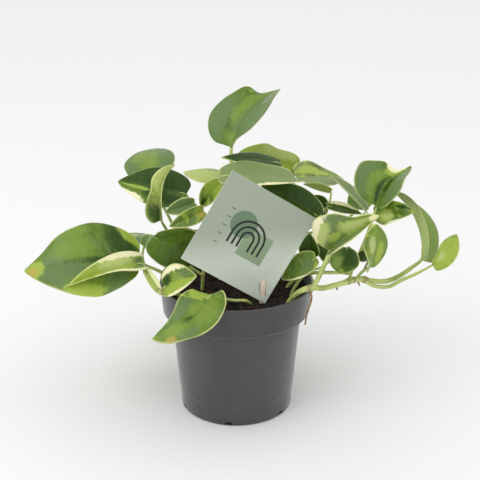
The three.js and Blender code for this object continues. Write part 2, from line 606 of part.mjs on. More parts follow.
// Soil up to just below the rim, its top lumpy, with a plain hole for each stem and for the pick
function soilSolid(bores) {
  const random = seededRandom(SOIL_SEED);
  const collarFoot = POT_HEIGHT - COLLAR_HEIGHT;
  const slope = (BODY_TOP_RADIUS - BASE_RADIUS) / collarFoot;
  const inner = WALL + SOIL_GAP;
  const shelf = collarFoot + WALL + SOIL_GAP;
  const topRadius = COLLAR_FOOT_RADIUS - inner
    + (SOIL_LEVEL - collarFoot) * ((RIM_RADIUS - COLLAR_FOOT_RADIUS) / COLLAR_HEIGHT) - 0.3;
  const rings = [
    [BASE_RADIUS + slope * FLOOR - inner, FLOOR + SOIL_GAP],
    [BODY_TOP_RADIUS - inner, shelf],
    [COLLAR_FOOT_RADIUS - inner - 0.3, shelf],
  ];
  for (let ring = 0; ring < SOIL_RINGS; ring += 1) {
    rings.push([topRadius * (1 - ring / SOIL_RINGS), SOIL_LEVEL]);
  }
  const points = [new THREE.Vector3(0, 0, FLOOR + SOIL_GAP)];
  rings.forEach(([radius, height], index) => {
    for (let step = 0; step < SOIL_SEGMENTS; step += 1) {
      const angle = (2 * Math.PI * step) / SOIL_SEGMENTS;
      const lump = index > 2 ? SOIL_LUMP * (2 * random() - 1) : 0;
      points.push(new THREE.Vector3(radius * Math.cos(angle), radius * Math.sin(angle), height + lump));
    }
  });
  points.push(new THREE.Vector3(0, 0, SOIL_LEVEL));
  const at = (ring, step) => 1 + ring * SOIL_SEGMENTS + (step % SOIL_SEGMENTS);
  const faces = [];
  for (let step = 0; step < SOIL_SEGMENTS; step += 1) {
    faces.push([0, at(0, step + 1), at(0, step)]);
    faces.push([points.length - 1, at(rings.length - 1, step), at(rings.length - 1, step + 1)]);
    for (let ring = 0; ring < rings.length - 1; ring += 1) {
      faces.push([at(ring, step), at(ring, step + 1), at(ring + 1, step + 1)]);
      faces.push([at(ring, step), at(ring + 1, step + 1), at(ring + 1, step)]);
    }
  }
  return toSolid(indexedGeometry(points, faces)).subtract(fuse(bores));
}

// A wider copy of the buried stretch of each rooted stem, open above the soil
function stemBores(plan) {
  return plan.stems.filter((stem) => stem.route[0][2] === ROOT_DEPTH).map((stem) => {
    const buried = stem.route.slice(0, 4).map(vector);
    const foot = buried[0].clone().sub(new THREE.Vector3(0, 0, 1));
    const radius = stem.radius + BORE_GAP;
    return taperedTube([foot, ...buried], radius, radius, STEM_SIDES);
  });
}

// Both label pieces are built upright round the slot's centre, then leaned and turned
function placeLabel(geometry, lean) {
  geometry.rotateX(radians(lean));
  geometry.rotateZ(radians(CARD_YAW));
  return geometry;
}

function cardGeometry() {
  const half = CARD_SIDE / 2;
  const outline = new THREE.Shape();
  const corners = [[-half, -half], [half, -half], [half, half], [-half, half]].map(([x, y]) =>
    new THREE.Vector2(x, y).rotateAround(new THREE.Vector2(), radians(-CARD_ROLL)));
  outline.setFromPoints(corners);
  const slot = new THREE.Path();
  const [across, up] = SLOT_CENTRE;
  slot.setFromPoints([[-1, -1], [-1, 1], [1, 1], [1, -1]].map(([x, y]) =>
    new THREE.Vector2(across + (x * SLOT_WIDTH) / 2, up + (y * SLOT_LENGTH) / 2)));
  outline.holes.push(slot);
  const geometry = new THREE.ExtrudeGeometry(outline, { depth: CARD_THICKNESS, bevelEnabled: false });
  geometry.translate(0, 0, -CARD_THICKNESS / 2);
  geometry.rotateX(Math.PI / 2);
  placeLabel(geometry, -CARD_LEAN);
  geometry.translate(...CARD_CENTRE);
  return geometry;
}

// The flat pick comes up behind the card's lower corner and out through its slot
function pickGeometry(widen = 0) {
  const half = PICK_WIDTH / 2 + widen;
  const outline = new THREE.Shape();
  outline.moveTo(-half, -PICK_BELOW_SLOT - widen);
  outline.lineTo(half, -PICK_BELOW_SLOT - widen);
  outline.lineTo(half, PICK_ABOVE_SLOT - half);
  outline.absarc(0, PICK_ABOVE_SLOT - half, half, 0, Math.PI, false);
  const depth = PICK_THICKNESS + 2 * widen;
  const geometry = new THREE.ExtrudeGeometry(outline, { depth, bevelEnabled: false, curveSegments: 8 });
  geometry.translate(0, 0, -depth / 2);
  geometry.rotateX(Math.PI / 2);
  placeLabel(geometry, PICK_TILT);
  const slotCentre = new THREE.Vector3(SLOT_CENTRE[0], 0, SLOT_CENTRE[1])
    .applyAxisAngle(new THREE.Vector3(1, 0, 0), radians(-CARD_LEAN))
    .applyAxisAngle(new THREE.Vector3(0, 0, 1), radians(CARD_YAW))
    .add(vector(CARD_CENTRE));
  geometry.translate(...slotCentre.toArray());
  return geometry;
}

// The finished assembly
const potted = new THREE.Group();

function addPiece(name, geometry, colour, roughness) {
  const material = new THREE.MeshStandardMaterial({ color: colour, roughness, metalness: 0 });
  const mesh = new THREE.Mesh(geometry, material);
  mesh.name = name;
  potted.add(mesh);
}

const bores = [...Object.values(LEAFY_STEMS).flatMap(stemBores), toSolid(pickGeometry(BORE_GAP))];
addPiece('pot', toGeometry(potSolid()), 0x4a4c4f, 0.5);
addPiece('soil', toGeometry(soilSolid(bores)), 0x2a1d16, 0.95);
addPiece('label_card', toGeometry(toSolid(cardGeometry())), 0xa3b29b, 0.6);
addPiece('label_pick', toGeometry(toSolid(pickGeometry())), 0xd9c6a2, 0.8);
for (const [name, plan] of Object.entries(LEAFY_STEMS)) {
  addPiece(name, toGeometry(stemSolid(plan)), 0x5f8f3a, 0.45);
}

export default potted;
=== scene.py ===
"""A trailing marbled-leaf aroid in a nursery pot, with a plain square label card on a wooden pick.

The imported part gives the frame. Each class here models one sub-assembly over the nodes that it stands
for and dresses it. Sizes are in millimetres and become metres where a mesh is made.
"""

import logging
import math
from dataclasses import dataclass, field
from enum import Enum
from typing import Sequence

import bpy
import numpy as np
from mathutils import Matrix, Vector, noise


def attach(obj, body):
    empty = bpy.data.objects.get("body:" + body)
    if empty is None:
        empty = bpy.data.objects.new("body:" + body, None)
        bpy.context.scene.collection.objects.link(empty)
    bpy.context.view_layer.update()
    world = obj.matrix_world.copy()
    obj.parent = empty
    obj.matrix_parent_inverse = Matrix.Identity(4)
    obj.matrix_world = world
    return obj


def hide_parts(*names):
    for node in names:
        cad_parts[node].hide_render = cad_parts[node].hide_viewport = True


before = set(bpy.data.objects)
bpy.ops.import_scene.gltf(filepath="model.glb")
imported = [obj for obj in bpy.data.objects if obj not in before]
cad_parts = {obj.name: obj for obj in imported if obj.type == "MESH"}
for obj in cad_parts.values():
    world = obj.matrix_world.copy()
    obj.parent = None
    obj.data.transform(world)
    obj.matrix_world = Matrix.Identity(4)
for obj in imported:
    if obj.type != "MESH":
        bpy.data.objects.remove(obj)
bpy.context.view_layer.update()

log = logging.getLogger("potted_aroid")

MM = 0.001
Point = tuple[float, float, float]
Socket = bpy.types.NodeSocket

# The pot, as the part has it
POT_HEIGHT = 105.0
RIM_RADIUS = 60.0
COLLAR_HEIGHT = 23.6
COLLAR_FOOT_RADIUS = 57.8
BODY_TOP_RADIUS = 51.4
BASE_RADIUS = 44.5
WALL = 1.4
FLOOR = 4.4
STEP_HEIGHT = 17.0
STEP_DEPTH = 0.5
COLLAR_FOOT = POT_HEIGHT - COLLAR_HEIGHT
BODY_SLOPE = (BODY_TOP_RADIUS - BASE_RADIUS) / COLLAR_FOOT

# The blade's outline: how its width rises and falls, its basal lobes, its ribs and its margin's ripple
WIDTH_RISE = 0.52
WIDTH_FALL = 0.92
LOBE = 0.07
LOBE_PLACE = 0.06
LOBE_SPREAD = 0.12
LOBE_START = 0.03
RIB_LAG = 1.3
RIB_BEND = 1.2
ROW_CROWDING = 1.4
RIPPLE_COUNT = 1.5
RIPPLE_LAG = 2.1
RIPPLE_RISE = 5.0
NUDGE_START = 0.02
NUDGE_END = 0.03
STALK_SINK = (0.01, 0.14)
STALK_DROP = 0.35

# How far apart each leaf's patterns lie, so that no two look the same
PATTERN_STEP = 17.0


class Tone(Enum):
    """The colours that marble a blade, in the order in which they are laid over its green; the grey-green one
    is partly painted sheen.
    """

    DEEP = "deep"
    # Grey-green, partly the leaf's own tone and partly painted sheen.
    SHEEN_GREY = "grey"
    LIGHT = "light"
    LIME = "lime"
    PALE = "pale"
    CREAM = "cream"
    BROWN = "brown"


class Skin(Enum):
    """What a stem is covered with."""

    GREEN = "green"
    ROOT = "root"


def srgb(red: float, green: float, blue: float) -> tuple[float, float, float, float]:
    """Turns a colour read as 0 to 255 into the linear one that a shader takes.

    Args:
        red: Red, 0 to 255.
        green: Green, 0 to 255.
        blue: Blue, 0 to 255.

    Returns:
        The linear colour with full alpha.
    """
    def channel(value: float) -> float:
        """One channel, made linear."""
        share = value / 255.0
        return share / 12.92 if share <= 0.04045 else ((share + 0.055) / 1.055) ** 2.4

    return channel(red), channel(green), channel(blue), 1.0


# Work on objects


def deselect_all() -> None:
    """Leaves nothing selected, so that the next operator acts on its own piece alone."""
    bpy.ops.object.select_all(action="DESELECT")


def take(piece: bpy.types.Object) -> bpy.types.Object:
    """Makes a piece the only one selected, and the active one.

    Args:
        piece: The object to work on.

    Returns:
        The same object.
    """
    deselect_all()
    piece.select_set(True)
    bpy.context.view_layer.objects.active = piece
    return piece


def apply_modifier(piece: bpy.types.Object, kind: str, **settings: object) -> None:
    """Adds one modifier to a piece and applies it.

    Args:
        piece: The object to change.
        kind: The modifier's type.
        **settings: What the modifier is set to.
    """
    take(piece)
    bpy.ops.object.modifier_add(type=kind)
    modifier = piece.modifiers[-1]
    for name, value in settings.items():
        setattr(modifier, name, value)
    bpy.ops.object.modifier_apply(modifier=modifier.name)


def settle(piece: bpy.types.Object) -> None:
    """Puts a piece's place into its mesh.

    Args:
        piece: The object whose transform is applied.
    """
    take(piece)
    bpy.ops.object.transform_apply(location=True, rotation=True, scale=True)


def close_up(piece: bpy.types.Object, distance: float = 0.005) -> None:
    """Merges a piece's doubled points and turns its faces outwards.

    Args:
        piece: The object to clean.
        distance: How near two points are merged, in millimetres.
    """
    take(piece)
    bpy.ops.object.mode_set(mode="EDIT")
    bpy.ops.mesh.select_all(action="SELECT")
    bpy.ops.mesh.remove_doubles(threshold=distance * MM)
    bpy.ops.mesh.normals_make_consistent(inside=False)
    bpy.ops.object.mode_set(mode="OBJECT")


def smooth(piece: bpy.types.Object, angle: float = 40.0) -> None:
    """Shades a piece smooth, apart from edges sharper than an angle.

    Args:
        piece: The object to shade.
        angle: The sharpest edge that stays smooth, in degrees.
    """
    take(piece)
    bpy.ops.object.shade_smooth_by_angle(angle=math.radians(angle))


def join(pieces: Sequence[bpy.types.Object], name: str) -> bpy.types.Object:
    """Joins pieces that are one physical thing.

    Args:
        pieces: The objects; the first keeps its material slots first.
        name: The joined object's name.

    Returns:
        The joined object.
    """
    take(pieces[0])
    for piece in pieces:
        piece.select_set(True)
    bpy.ops.object.join()
    joined = bpy.context.object
    joined.name = name
    joined.data.name = name
    return joined


def new_piece(name: str, mesh: bpy.types.Mesh) -> bpy.types.Object:
    """Puts a mesh into the scene as an object of its own."""
    piece = bpy.data.objects.new(name, mesh)
    bpy.context.scene.collection.objects.link(piece)
    return piece


def dress(piece: bpy.types.Object, *finishes: object) -> None:
    """Gives a piece its finishes, in slot order, and no others."""
    piece.data.materials.clear()
    for finish in finishes:
        piece.data.materials.append(finish.dress())


def hand_over(piece: bpy.types.Object, slot: str, *nodes: str) -> None:
    """Lets a finished piece ride on the part and stand for its nodes, and logs its slot.

    Args:
        piece: The finished object.
        slot: The name of its material slot, which is only logged.
        *nodes: The nodes that it stands for, if any.
    """
    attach(piece, "root")
    if nodes:
        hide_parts(*nodes)
    faces = len(piece.data.polygons)
    log.info("%s: %d faces, slot %s, stands for %s", piece.name, faces, slot, nodes or "nothing")


def points_of(piece: bpy.types.Object) -> np.ndarray:
    """The places of a mesh's points, one row each, in metres."""
    flat = np.zeros(len(piece.data.vertices) * 3)
    piece.data.vertices.foreach_get("co", flat)
    return flat.reshape(-1, 3)


def set_points(piece: bpy.types.Object, places: np.ndarray) -> None:
    """Moves a mesh's points to new places, in metres."""
    piece.data.vertices.foreach_set("co", places.astype(np.float32).ravel())
    piece.data.update()


def keep_values(piece: bpy.types.Object, name: str, values: np.ndarray) -> None:
    """Stores one number per point as an attribute that a material reads."""
    attribute = piece.data.attributes.new(name, "FLOAT", "POINT")
    attribute.data.foreach_set("value", values.astype(np.float32))


# Materials


class Recipe:
    """A material's node tree, built a node at a time."""

    def __init__(self, name: str) -> None:
        """Starts an empty material with its surface shader.

        Args:
            name: The material's name.
        """
        self.material = bpy.data.materials.new(name)
        self.material.use_nodes = True
        self.tree = self.material.node_tree
        self.tree.nodes.clear()
        self.output = self.tree.nodes.new("ShaderNodeOutputMaterial")
        self.shader = self.tree.nodes.new("ShaderNodeBsdfPrincipled")
        self.tree.links.new(self.shader.outputs["BSDF"], self.output.inputs["Surface"])

    def feed(self, socket: Socket, value: object) -> None:
        """Links a socket to another, or sets it to a plain value."""
        if isinstance(value, bpy.types.NodeSocket):
            self.tree.links.new(value, socket)
        else:
            socket.default_value = value

    def surface(self, **values: object) -> None:
        """Sets the shader's own sockets, named with underscores for spaces."""
        for name, value in values.items():
            self.feed(self.shader.inputs[name.replace("_", " ")], value)

    def place(self, kind: str = "Object") -> Socket:
        """The coordinates that a pattern follows: Object or UV."""
        return self.tree.nodes.new("ShaderNodeTexCoord").outputs[kind]

    def value_of(self, attribute: str) -> Socket:
        """A number that the mesh holds at each point."""
        node = self.tree.nodes.new("ShaderNodeAttribute")
        node.attribute_name = attribute
        return node.outputs["Fac"]

    def vector_of(self, attribute: str) -> Socket:
        """A vector that the mesh holds at each point."""
        node = self.tree.nodes.new("ShaderNodeAttribute")
        node.attribute_name = attribute
        return node.outputs["Vector"]

    def maths(self, operation: str, *values: object) -> Socket:
        """One sum of the Math node."""
        node = self.tree.nodes.new("ShaderNodeMath")
        node.operation = operation
        for socket, value in zip(node.inputs, values):
            self.feed(socket, value)
        return node.outputs[0]

    def mixture(self, first: Socket, first_share: float, second: Socket, second_share: float) -> Socket:
        """The sum of two patterns, each times its share."""
        return self.maths("ADD", self.maths("MULTIPLY", first, first_share),
                          self.maths("MULTIPLY", second, second_share))

    def split(self, vector: Socket) -> tuple[Socket, ...]:
        """A vector's three parts."""
        node = self.tree.nodes.new("ShaderNodeSeparateXYZ")
        self.feed(node.inputs[0], vector)
        return tuple(node.outputs)

    def stretch(self, vector: Socket, scale: Point, turn: float = 0.0, move: Point = (0, 0, 0)) -> Socket:
        """Scales, turns about Z and moves a pattern's coordinates; turn is in degrees."""
        node = self.tree.nodes.new("ShaderNodeMapping")
        self.feed(node.inputs["Vector"], vector)
        node.inputs["Scale"].default_value = scale
        node.inputs["Rotation"].default_value[2] = math.radians(turn)
        node.inputs["Location"].default_value = move
        return node.outputs[0]

    def noise(self, vector: Socket, scale: float, detail: float = 3.0, rough: float = 0.5,
              warp: float = 0.0) -> Socket:
        """Soft random cloud, about 0 to 1 round a mean of a half."""
        node = self.tree.nodes.new("ShaderNodeTexNoise")
        self.feed(node.inputs["Vector"], vector)
        node.inputs["Scale"].default_value = scale
        node.inputs["Detail"].default_value = detail
        node.inputs["Roughness"].default_value = rough
        node.inputs["Distortion"].default_value = warp
        return node.outputs["Fac"]

    def step(self, value: object, low: float, high: float, start: float = 0.0, end: float = 1.0) -> Socket:
        """A smooth step of a value from one level to another."""
        node = self.tree.nodes.new("ShaderNodeMapRange")
        node.interpolation_type = "SMOOTHSTEP"
        for name, number in zip(("Value", "From Min", "From Max", "To Min", "To Max"),
                                (value, low, high, start, end)):
            self.feed(node.inputs[name], number)
        return node.outputs[0]

    def blend(self, share: object, first: object, second: object) -> Socket:
        """Mixes two colours; share 1 is all the second."""
        node = self.tree.nodes.new("ShaderNodeMix")
        node.data_type = "RGBA"
        for socket, value in zip((node.inputs[0], node.inputs[6], node.inputs[7]), (share, first, second)):
            self.feed(socket, value)
        return node.outputs[2]

    def bump(self, height: Socket, depth: float, strength: float = 1.0) -> None:
        """Raises the surface by a height pattern; depth is in millimetres."""
        node = self.tree.nodes.new("ShaderNodeBump")
        self.feed(node.inputs["Height"], height)
        node.inputs["Distance"].default_value = depth * MM
        node.inputs["Strength"].default_value = strength
        self.feed(self.shader.inputs["Normal"], node.outputs[0])


@dataclass(frozen=True)
class BladeFinish:
    """Waxy leaf skin, marbled by the tones that the mesh holds; its grey-green is partly painted sheen."""

    name: str
    green: tuple
    deep: tuple
    # Grey-green, partly the leaf's own tone and partly painted sheen.
    grey: tuple
    lime: tuple
    cream: tuple
    light: tuple = srgb(122, 148, 58)
    pale: tuple = srgb(208, 214, 150)
    brown: tuple = srgb(186, 160, 80)
    vein: tuple = srgb(146, 168, 86)
    roughness: float = 0.36
    rim: tuple = srgb(216, 220, 150)
    vein_share: float = 0.5
    ragged: float = 0.75
    depth: float = 0.12

    def dress(self) -> bpy.types.Material:
        """Builds the blade's material.

        Returns:
            The material.
        """
        recipe = Recipe(self.name)
        place = recipe.place()
        ribwise = recipe.vector_of("blade_place")
        streaks = recipe.noise(recipe.stretch(ribwise, (0.30, 0.10, 1.0)), 1.0, 4.0, 0.55, 0.3)
        sectors = recipe.noise(recipe.stretch(ribwise, (0.16, 0.045, 1.0)), 1.0, 2.0, 0.45, 0.5)
        blots = recipe.noise(place, 190.0, 4.0, 0.6, 0.2)
        mixed = recipe.mixture(streaks, 0.7, blots, 0.3)
        offset = recipe.maths("MULTIPLY", recipe.maths("SUBTRACT", mixed, 0.5), self.ragged * 2.0)
        tint = recipe.noise(recipe.stretch(ribwise, (0.12, 0.07, 1.0), move=(31.0, 5.0, 0.0)), 1.0, 3.0, 0.5)
        colour = recipe.blend(recipe.step(tint, 0.36, 0.66), self.green, self.deep_green())
        share = recipe.maths("ADD", sectors, recipe.maths("MULTIPLY", recipe.value_of("marble"), 0.5))
        colour = recipe.blend(recipe.step(share, 0.70, 0.82, 0.0, 0.8), colour, self.lime)
        # Random grey-green sectors, partly the leaf's own tone and partly painted sheen.
        apart = recipe.stretch(ribwise, (0.14, 0.05, 1.0), move=(3.0, 77.0, 0.0))
        grey_sheen_sectors = recipe.noise(apart, 1.0, 2.0, 0.45, 0.4)
        colour = recipe.blend(recipe.step(grey_sheen_sectors, 0.54, 0.62, 0.0, 0.7), colour, self.grey)
        mottle = recipe.step(recipe.noise(place, 330.0, 3.0, 0.6), 0.47, 0.62, 0.0, 0.3)
        colour = recipe.blend(mottle, colour, self.light)
        # The tones of the marks, laid in order; the grey-green marks are partly painted sheen.
        layers = ((Tone.DEEP, self.deep, 0.4, 0.92), (Tone.SHEEN_GREY, self.grey, 0.3, 0.92),
                  (Tone.LIGHT, self.light, 0.5, 0.92), (Tone.LIME, self.lime, 0.24, 0.92),
                  (Tone.PALE, self.pale, 0.5, 0.6), (Tone.CREAM, self.cream, 0.16, 0.92),
                  (Tone.BROWN, self.brown, 0.6, 0.75))
        for tone, paint, soft, cover in layers:
            level = recipe.maths("ADD", recipe.value_of(tone.value), offset)
            colour = recipe.blend(recipe.step(level, -soft, soft, 0.0, cover), colour, paint)
        colour = recipe.blend(recipe.value_of("pallor"), colour, self.pale)
        vein = recipe.maths("MULTIPLY", recipe.value_of("vein"), self.vein_share)
        colour = recipe.blend(vein, colour, self.vein)
        rim_wax = recipe.step(recipe.noise(place, 40.0, 2.0), 0.32, 0.6, 0.3, 0.85)
        rim = recipe.maths("MULTIPLY", recipe.step(recipe.value_of("edge"), 0.0, 1.0), rim_wax)
        colour = recipe.blend(rim, colour, self.rim)
        flecks = recipe.step(recipe.noise(place, 700.0, 2.0, 0.5), 0.6, 0.78)
        colour = recipe.blend(recipe.maths("MULTIPLY", flecks, 0.14), colour, self.lime)
        recipe.surface(Base_Color=colour, Specular_IOR_Level=0.25, Subsurface_Weight=0.12,
                       Subsurface_Radius=(0.6, 1.0, 0.25), Subsurface_Scale=0.0012)
        recipe.surface(Roughness=recipe.step(recipe.noise(place, 160.0, 2.0), 0.3, 0.7,
                                             self.roughness - 0.05, self.roughness + 0.08))
        pores = recipe.noise(place, 1400.0, 2.0, 0.6)
        recipe.bump(recipe.mixture(mixed, 0.8, pores, 0.2), self.depth, 0.6)
        return recipe.material

    def deep_green(self) -> tuple:
        """The darker of the blade's two plain greens."""
        return tuple(0.62 * first + 0.38 * second for first, second in zip(self.green, self.deep))


@dataclass(frozen=True)
class StalkFinish:
    """Smooth green bark of petioles and stems, with lengthwise streaks."""

    name: str
    light: tuple
    dark: tuple
    scar: tuple
    roughness: float = 0.42

    def dress(self) -> bpy.types.Material:
        """Builds the stalks' material.

        Returns:
            The material.
        """
        recipe = Recipe(self.name)
        place = recipe.place()
        around = recipe.vector_of("blade_place")
        streaks = recipe.noise(recipe.stretch(around, (0.06, 0.9, 1.0)), 1.0, 3.0, 0.6)
        colour = recipe.blend(recipe.step(streaks, 0.42, 0.66), self.light, self.dark)
        blush = recipe.noise(place, 60.0, 2.0)
        colour = recipe.blend(recipe.step(blush, 0.5, 0.75, 0.0, 0.5), colour, self.dark)
        colour = recipe.blend(recipe.value_of("scar"), colour, self.scar)
        recipe.surface(Base_Color=colour, Roughness=self.roughness, Subsurface_Weight=0.15,
                       Subsurface_Radius=(0.7, 1.0, 0.3), Subsurface_Scale=0.0015)
        recipe.bump(streaks, 0.15, 0.5)
        return recipe.material


@dataclass(frozen=True)
class RootFinish:
    """Dry brown bark of an aerial root."""

    name: str = "root_bark"

    def dress(self) -> bpy.types.Material:
        """Builds the root's material.

        Returns:
            The material.
        """
        recipe = Recipe(self.name)
        place = recipe.place()
        grain = recipe.noise(recipe.stretch(place, (1.0, 1.0, 0.3)), 700.0, 3.0, 0.6)
        colour = recipe.blend(recipe.step(grain, 0.35, 0.65), srgb(104, 74, 44), srgb(178, 138, 92))
        recipe.surface(Base_Color=colour, Roughness=0.75)
        recipe.bump(grain, 0.2, 0.7)
        return recipe.material


@dataclass(frozen=True)
class PotFinish:
    """Dark grey moulded plastic with a fine satin grain and a little dust, and painted shade from the
    collar's foot upwards.
    """

    name: str = "pot_plastic"
    plastic: tuple = srgb(62, 63, 65)
    worn: tuple = srgb(84, 85, 87)
    # Painted shade: the darker grey laid over the pot above the collar's foot, collar and rim included.
    collar: tuple = srgb(50, 51, 53)
    dust: tuple = srgb(120, 112, 102)
    collar_shade_share: float = 0.55
    collar_shade_blur: float = 0.4

    def dress(self) -> bpy.types.Material:
        """Builds the pot's material.

        Returns:
            The material.
        """
        recipe = Recipe(self.name)
        place = recipe.place()
        flow = recipe.noise(recipe.stretch(place, (1.0, 1.0, 0.5)), 35.0, 4.0, 0.55)
        colour = recipe.blend(recipe.step(flow, 0.35, 0.75, 0.0, 0.3), self.plastic, self.worn)
        # Painted shade: above the collar's foot the plastic is blended towards the darker collar grey.
        height = recipe.split(place)[2]
        above = recipe.step(height, (COLLAR_FOOT - self.collar_shade_blur) * MM,
                            (COLLAR_FOOT + self.collar_shade_blur) * MM, 0.0, self.collar_shade_share)
        colour = recipe.blend(above, colour, self.collar)
        specks = recipe.step(recipe.noise(place, 900.0, 1.0), 0.7, 0.8, 0.0, 0.35)
        colour = recipe.blend(specks, colour, self.dust)
        rough = recipe.step(recipe.noise(place, 120.0, 3.0), 0.3, 0.7, 0.40, 0.52)
        recipe.surface(Base_Color=colour, Roughness=rough, Specular_IOR_Level=0.5, Sheen_Weight=0.5,
                       Sheen_Roughness=0.35)
        grain = recipe.noise(place, 2600.0, 2.0, 0.6)
        waves = recipe.noise(place, 55.0, 2.0)
        recipe.bump(recipe.maths("ADD", recipe.maths("MULTIPLY", grain, 0.3), waves), 0.07, 0.4)
        return recipe.material


@dataclass(frozen=True)
class SoilFinish:
    """Moist peat mix, nearly black, with warmer crumbs."""

    name: str = "soil_mix"
    peat: tuple = srgb(15, 11, 8)
    crumb: tuple = srgb(42, 27, 21)
    pale: tuple = srgb(92, 64, 50)

    def dress(self) -> bpy.types.Material:
        """Builds the soil's material.

        Returns:
            The material.
        """
        recipe = Recipe(self.name)
        place = recipe.place()
        crumbs = recipe.noise(place, 420.0, 4.0, 0.65)
        colour = recipe.blend(recipe.step(crumbs, 0.42, 0.66), self.peat, self.crumb)
        grit = recipe.step(recipe.noise(place, 950.0, 2.0), 0.66, 0.76, 0.0, 0.7)
        colour = recipe.blend(grit, colour, self.pale)
        recipe.surface(Base_Color=colour, Roughness=0.9, Specular_IOR_Level=0.3)
        recipe.bump(crumbs, 1.2, 1.0)
        return recipe.material


@dataclass(frozen=True)
class LitterFinish:
    """Bark chips or fibres on the soil, one of two browns for each."""

    name: str
    first: tuple
    second: tuple

    def dress(self) -> bpy.types.Material:
        """Builds the material of the loose bits.

        Returns:
            The material.
        """
        recipe = Recipe(self.name)
        place = recipe.place()
        shade = recipe.noise(place, 130.0, 1.0)
        colour = recipe.blend(recipe.step(shade, 0.4, 0.6), self.first, self.second)
        fine = recipe.noise(place, 1500.0, 2.0)
        recipe.surface(Base_Color=colour, Roughness=0.88, Specular_IOR_Level=0.25)
        recipe.bump(fine, 0.3, 0.8)
        return recipe.material


@dataclass(frozen=True)
class CardFinish:
    """Matt printed board: a sage ground with a plain arch motif, in the card's own millimetres, with a
    painted pool of light on its lower part.
    """

    name: str = "card_print"
    ground: tuple = srgb(155, 164, 147)
    # Painted light: the lighter ground on the card's lower part.
    low: tuple = srgb(194, 203, 189)
    pale: tuple = srgb(132, 152, 119)
    shade: tuple = srgb(99, 124, 96)
    ink: tuple = srgb(18, 26, 22)
    side: float = 75.0
    painted_light_full_height: float = 128.0
    painted_light_end_height: float = 160.0
    blur: float = 0.12

    def disc(self, recipe: Recipe, place: Socket, centre: tuple[float, float], radius: float) -> Socket:
        """A filled round shape; 1 inside."""
        node = recipe.tree.nodes.new("ShaderNodeVectorMath")
        node.operation = "DISTANCE"
        recipe.feed(node.inputs[0], place)
        node.inputs[1].default_value = (*centre, 0.0)
        return recipe.step(node.outputs["Value"], radius - self.blur, radius + self.blur, 1.0, 0.0)

    def box(self, recipe: Recipe, place: Socket, centre: tuple[float, float],
            half: tuple[float, float]) -> Socket:
        """A filled upright rectangle; 1 inside."""
        parts = recipe.split(place)
        inside = []
        for axis in range(2):
            reach = recipe.maths("ABSOLUTE", recipe.maths("SUBTRACT", parts[axis], centre[axis]))
            inside.append(recipe.step(reach, half[axis] - self.blur, half[axis] + self.blur, 1.0, 0.0))
        return recipe.maths("MULTIPLY", *inside)

    def arch(self, recipe: Recipe, place: Socket, centre: tuple[float, float], radius: float,
             thick: float, leg: float) -> Socket:
        """An arch outline: a half ring on two straight legs."""
        outer = recipe.maths("MAXIMUM", self.disc(recipe, place, centre, radius),
                             self.box(recipe, place, (centre[0], centre[1] - leg / 2), (radius, leg / 2)))
        inner = recipe.maths("MAXIMUM", self.disc(recipe, place, centre, radius - thick),
                             self.box(recipe, place, (centre[0], centre[1] - leg / 2 - 1),
                                      (radius - thick, leg / 2 + 1)))
        above = self.box(recipe, place, (centre[0], centre[1] - leg + 40), (radius + 5, 40))
        return recipe.maths("MULTIPLY", above, recipe.maths("SUBTRACT", outer, inner))

    def dress(self) -> bpy.types.Material:
        """Builds the card's printed material.

        Returns:
            The material.
        """
        recipe = Recipe(self.name)
        flat = recipe.stretch(recipe.place("UV"), (self.side, self.side, 1.0),
                              move=(-self.side / 2, -self.side / 2, 0))
        fibre = recipe.noise(recipe.place(), 500.0, 3.0)
        # Painted light: below a height the ground turns lighter, fading out higher up.
        height = recipe.split(recipe.place())[2]
        painted_light_share = recipe.step(height, self.painted_light_full_height * MM, self.painted_light_end_height * MM, 1.0, 0.0)
        colour = recipe.blend(painted_light_share, self.ground, self.low)
        colour = recipe.blend(recipe.step(fibre, 0.3, 0.7, 0.0, 0.10), colour, self.pale)
        colour = recipe.blend(self.box(recipe, flat, (7.0, -4.0), (11.0, 11.0)), colour, self.pale)
        colour = recipe.blend(self.disc(recipe, flat, (-9.0, 7.0), 10.5), colour, self.shade)
        for radius in (14.0, 9.8, 5.6):
            colour = recipe.blend(self.arch(recipe, flat, (-1.0, -1.0), radius, 1.7, 9.0), colour, self.ink)
        for row in range(5):
            dash = self.box(recipe, flat, (-22.0, -14.0 + 7.0 * row), (1.6, 0.35))
            colour = recipe.blend(recipe.maths("MULTIPLY", dash, 0.8), colour, self.ink)
        recipe.surface(Base_Color=colour, Roughness=0.55, Specular_IOR_Level=0.45)
        recipe.bump(fibre, 0.03, 0.4)
        return recipe.material


@dataclass(frozen=True)
class PaperEdgeFinish:
    """The card's bare board, on its back and its cut edges."""

    name: str = "card_edge"

    def dress(self) -> bpy.types.Material:
        """Builds the bare board's material.

        Returns:
            The material.
        """
        recipe = Recipe(self.name)
        fibre = recipe.noise(recipe.place(), 1800.0, 2.0)
        colour = recipe.blend(fibre, srgb(214, 218, 206), srgb(232, 234, 226))
        recipe.surface(Base_Color=colour, Roughness=0.8)
        return recipe.material


@dataclass(frozen=True)
class WoodFinish:
    """Pale raw wood with a fine lengthwise grain."""

    name: str = "pick_wood"
    pale: tuple = srgb(240, 227, 205)
    grain: tuple = srgb(208, 184, 150)

    def dress(self) -> bpy.types.Material:
        """Builds the pick's material.

        Returns:
            The material.
        """
        recipe = Recipe(self.name)
        along = recipe.stretch(recipe.place(), (1.0, 1.0, 0.07))
        grain = recipe.noise(along, 2200.0, 4.0, 0.6)
        colour = recipe.blend(recipe.step(grain, 0.45, 0.7), self.pale, self.grain)
        recipe.surface(Base_Color=colour, Roughness=0.72)
        recipe.bump(grain, 0.12, 0.7)
        return recipe.material


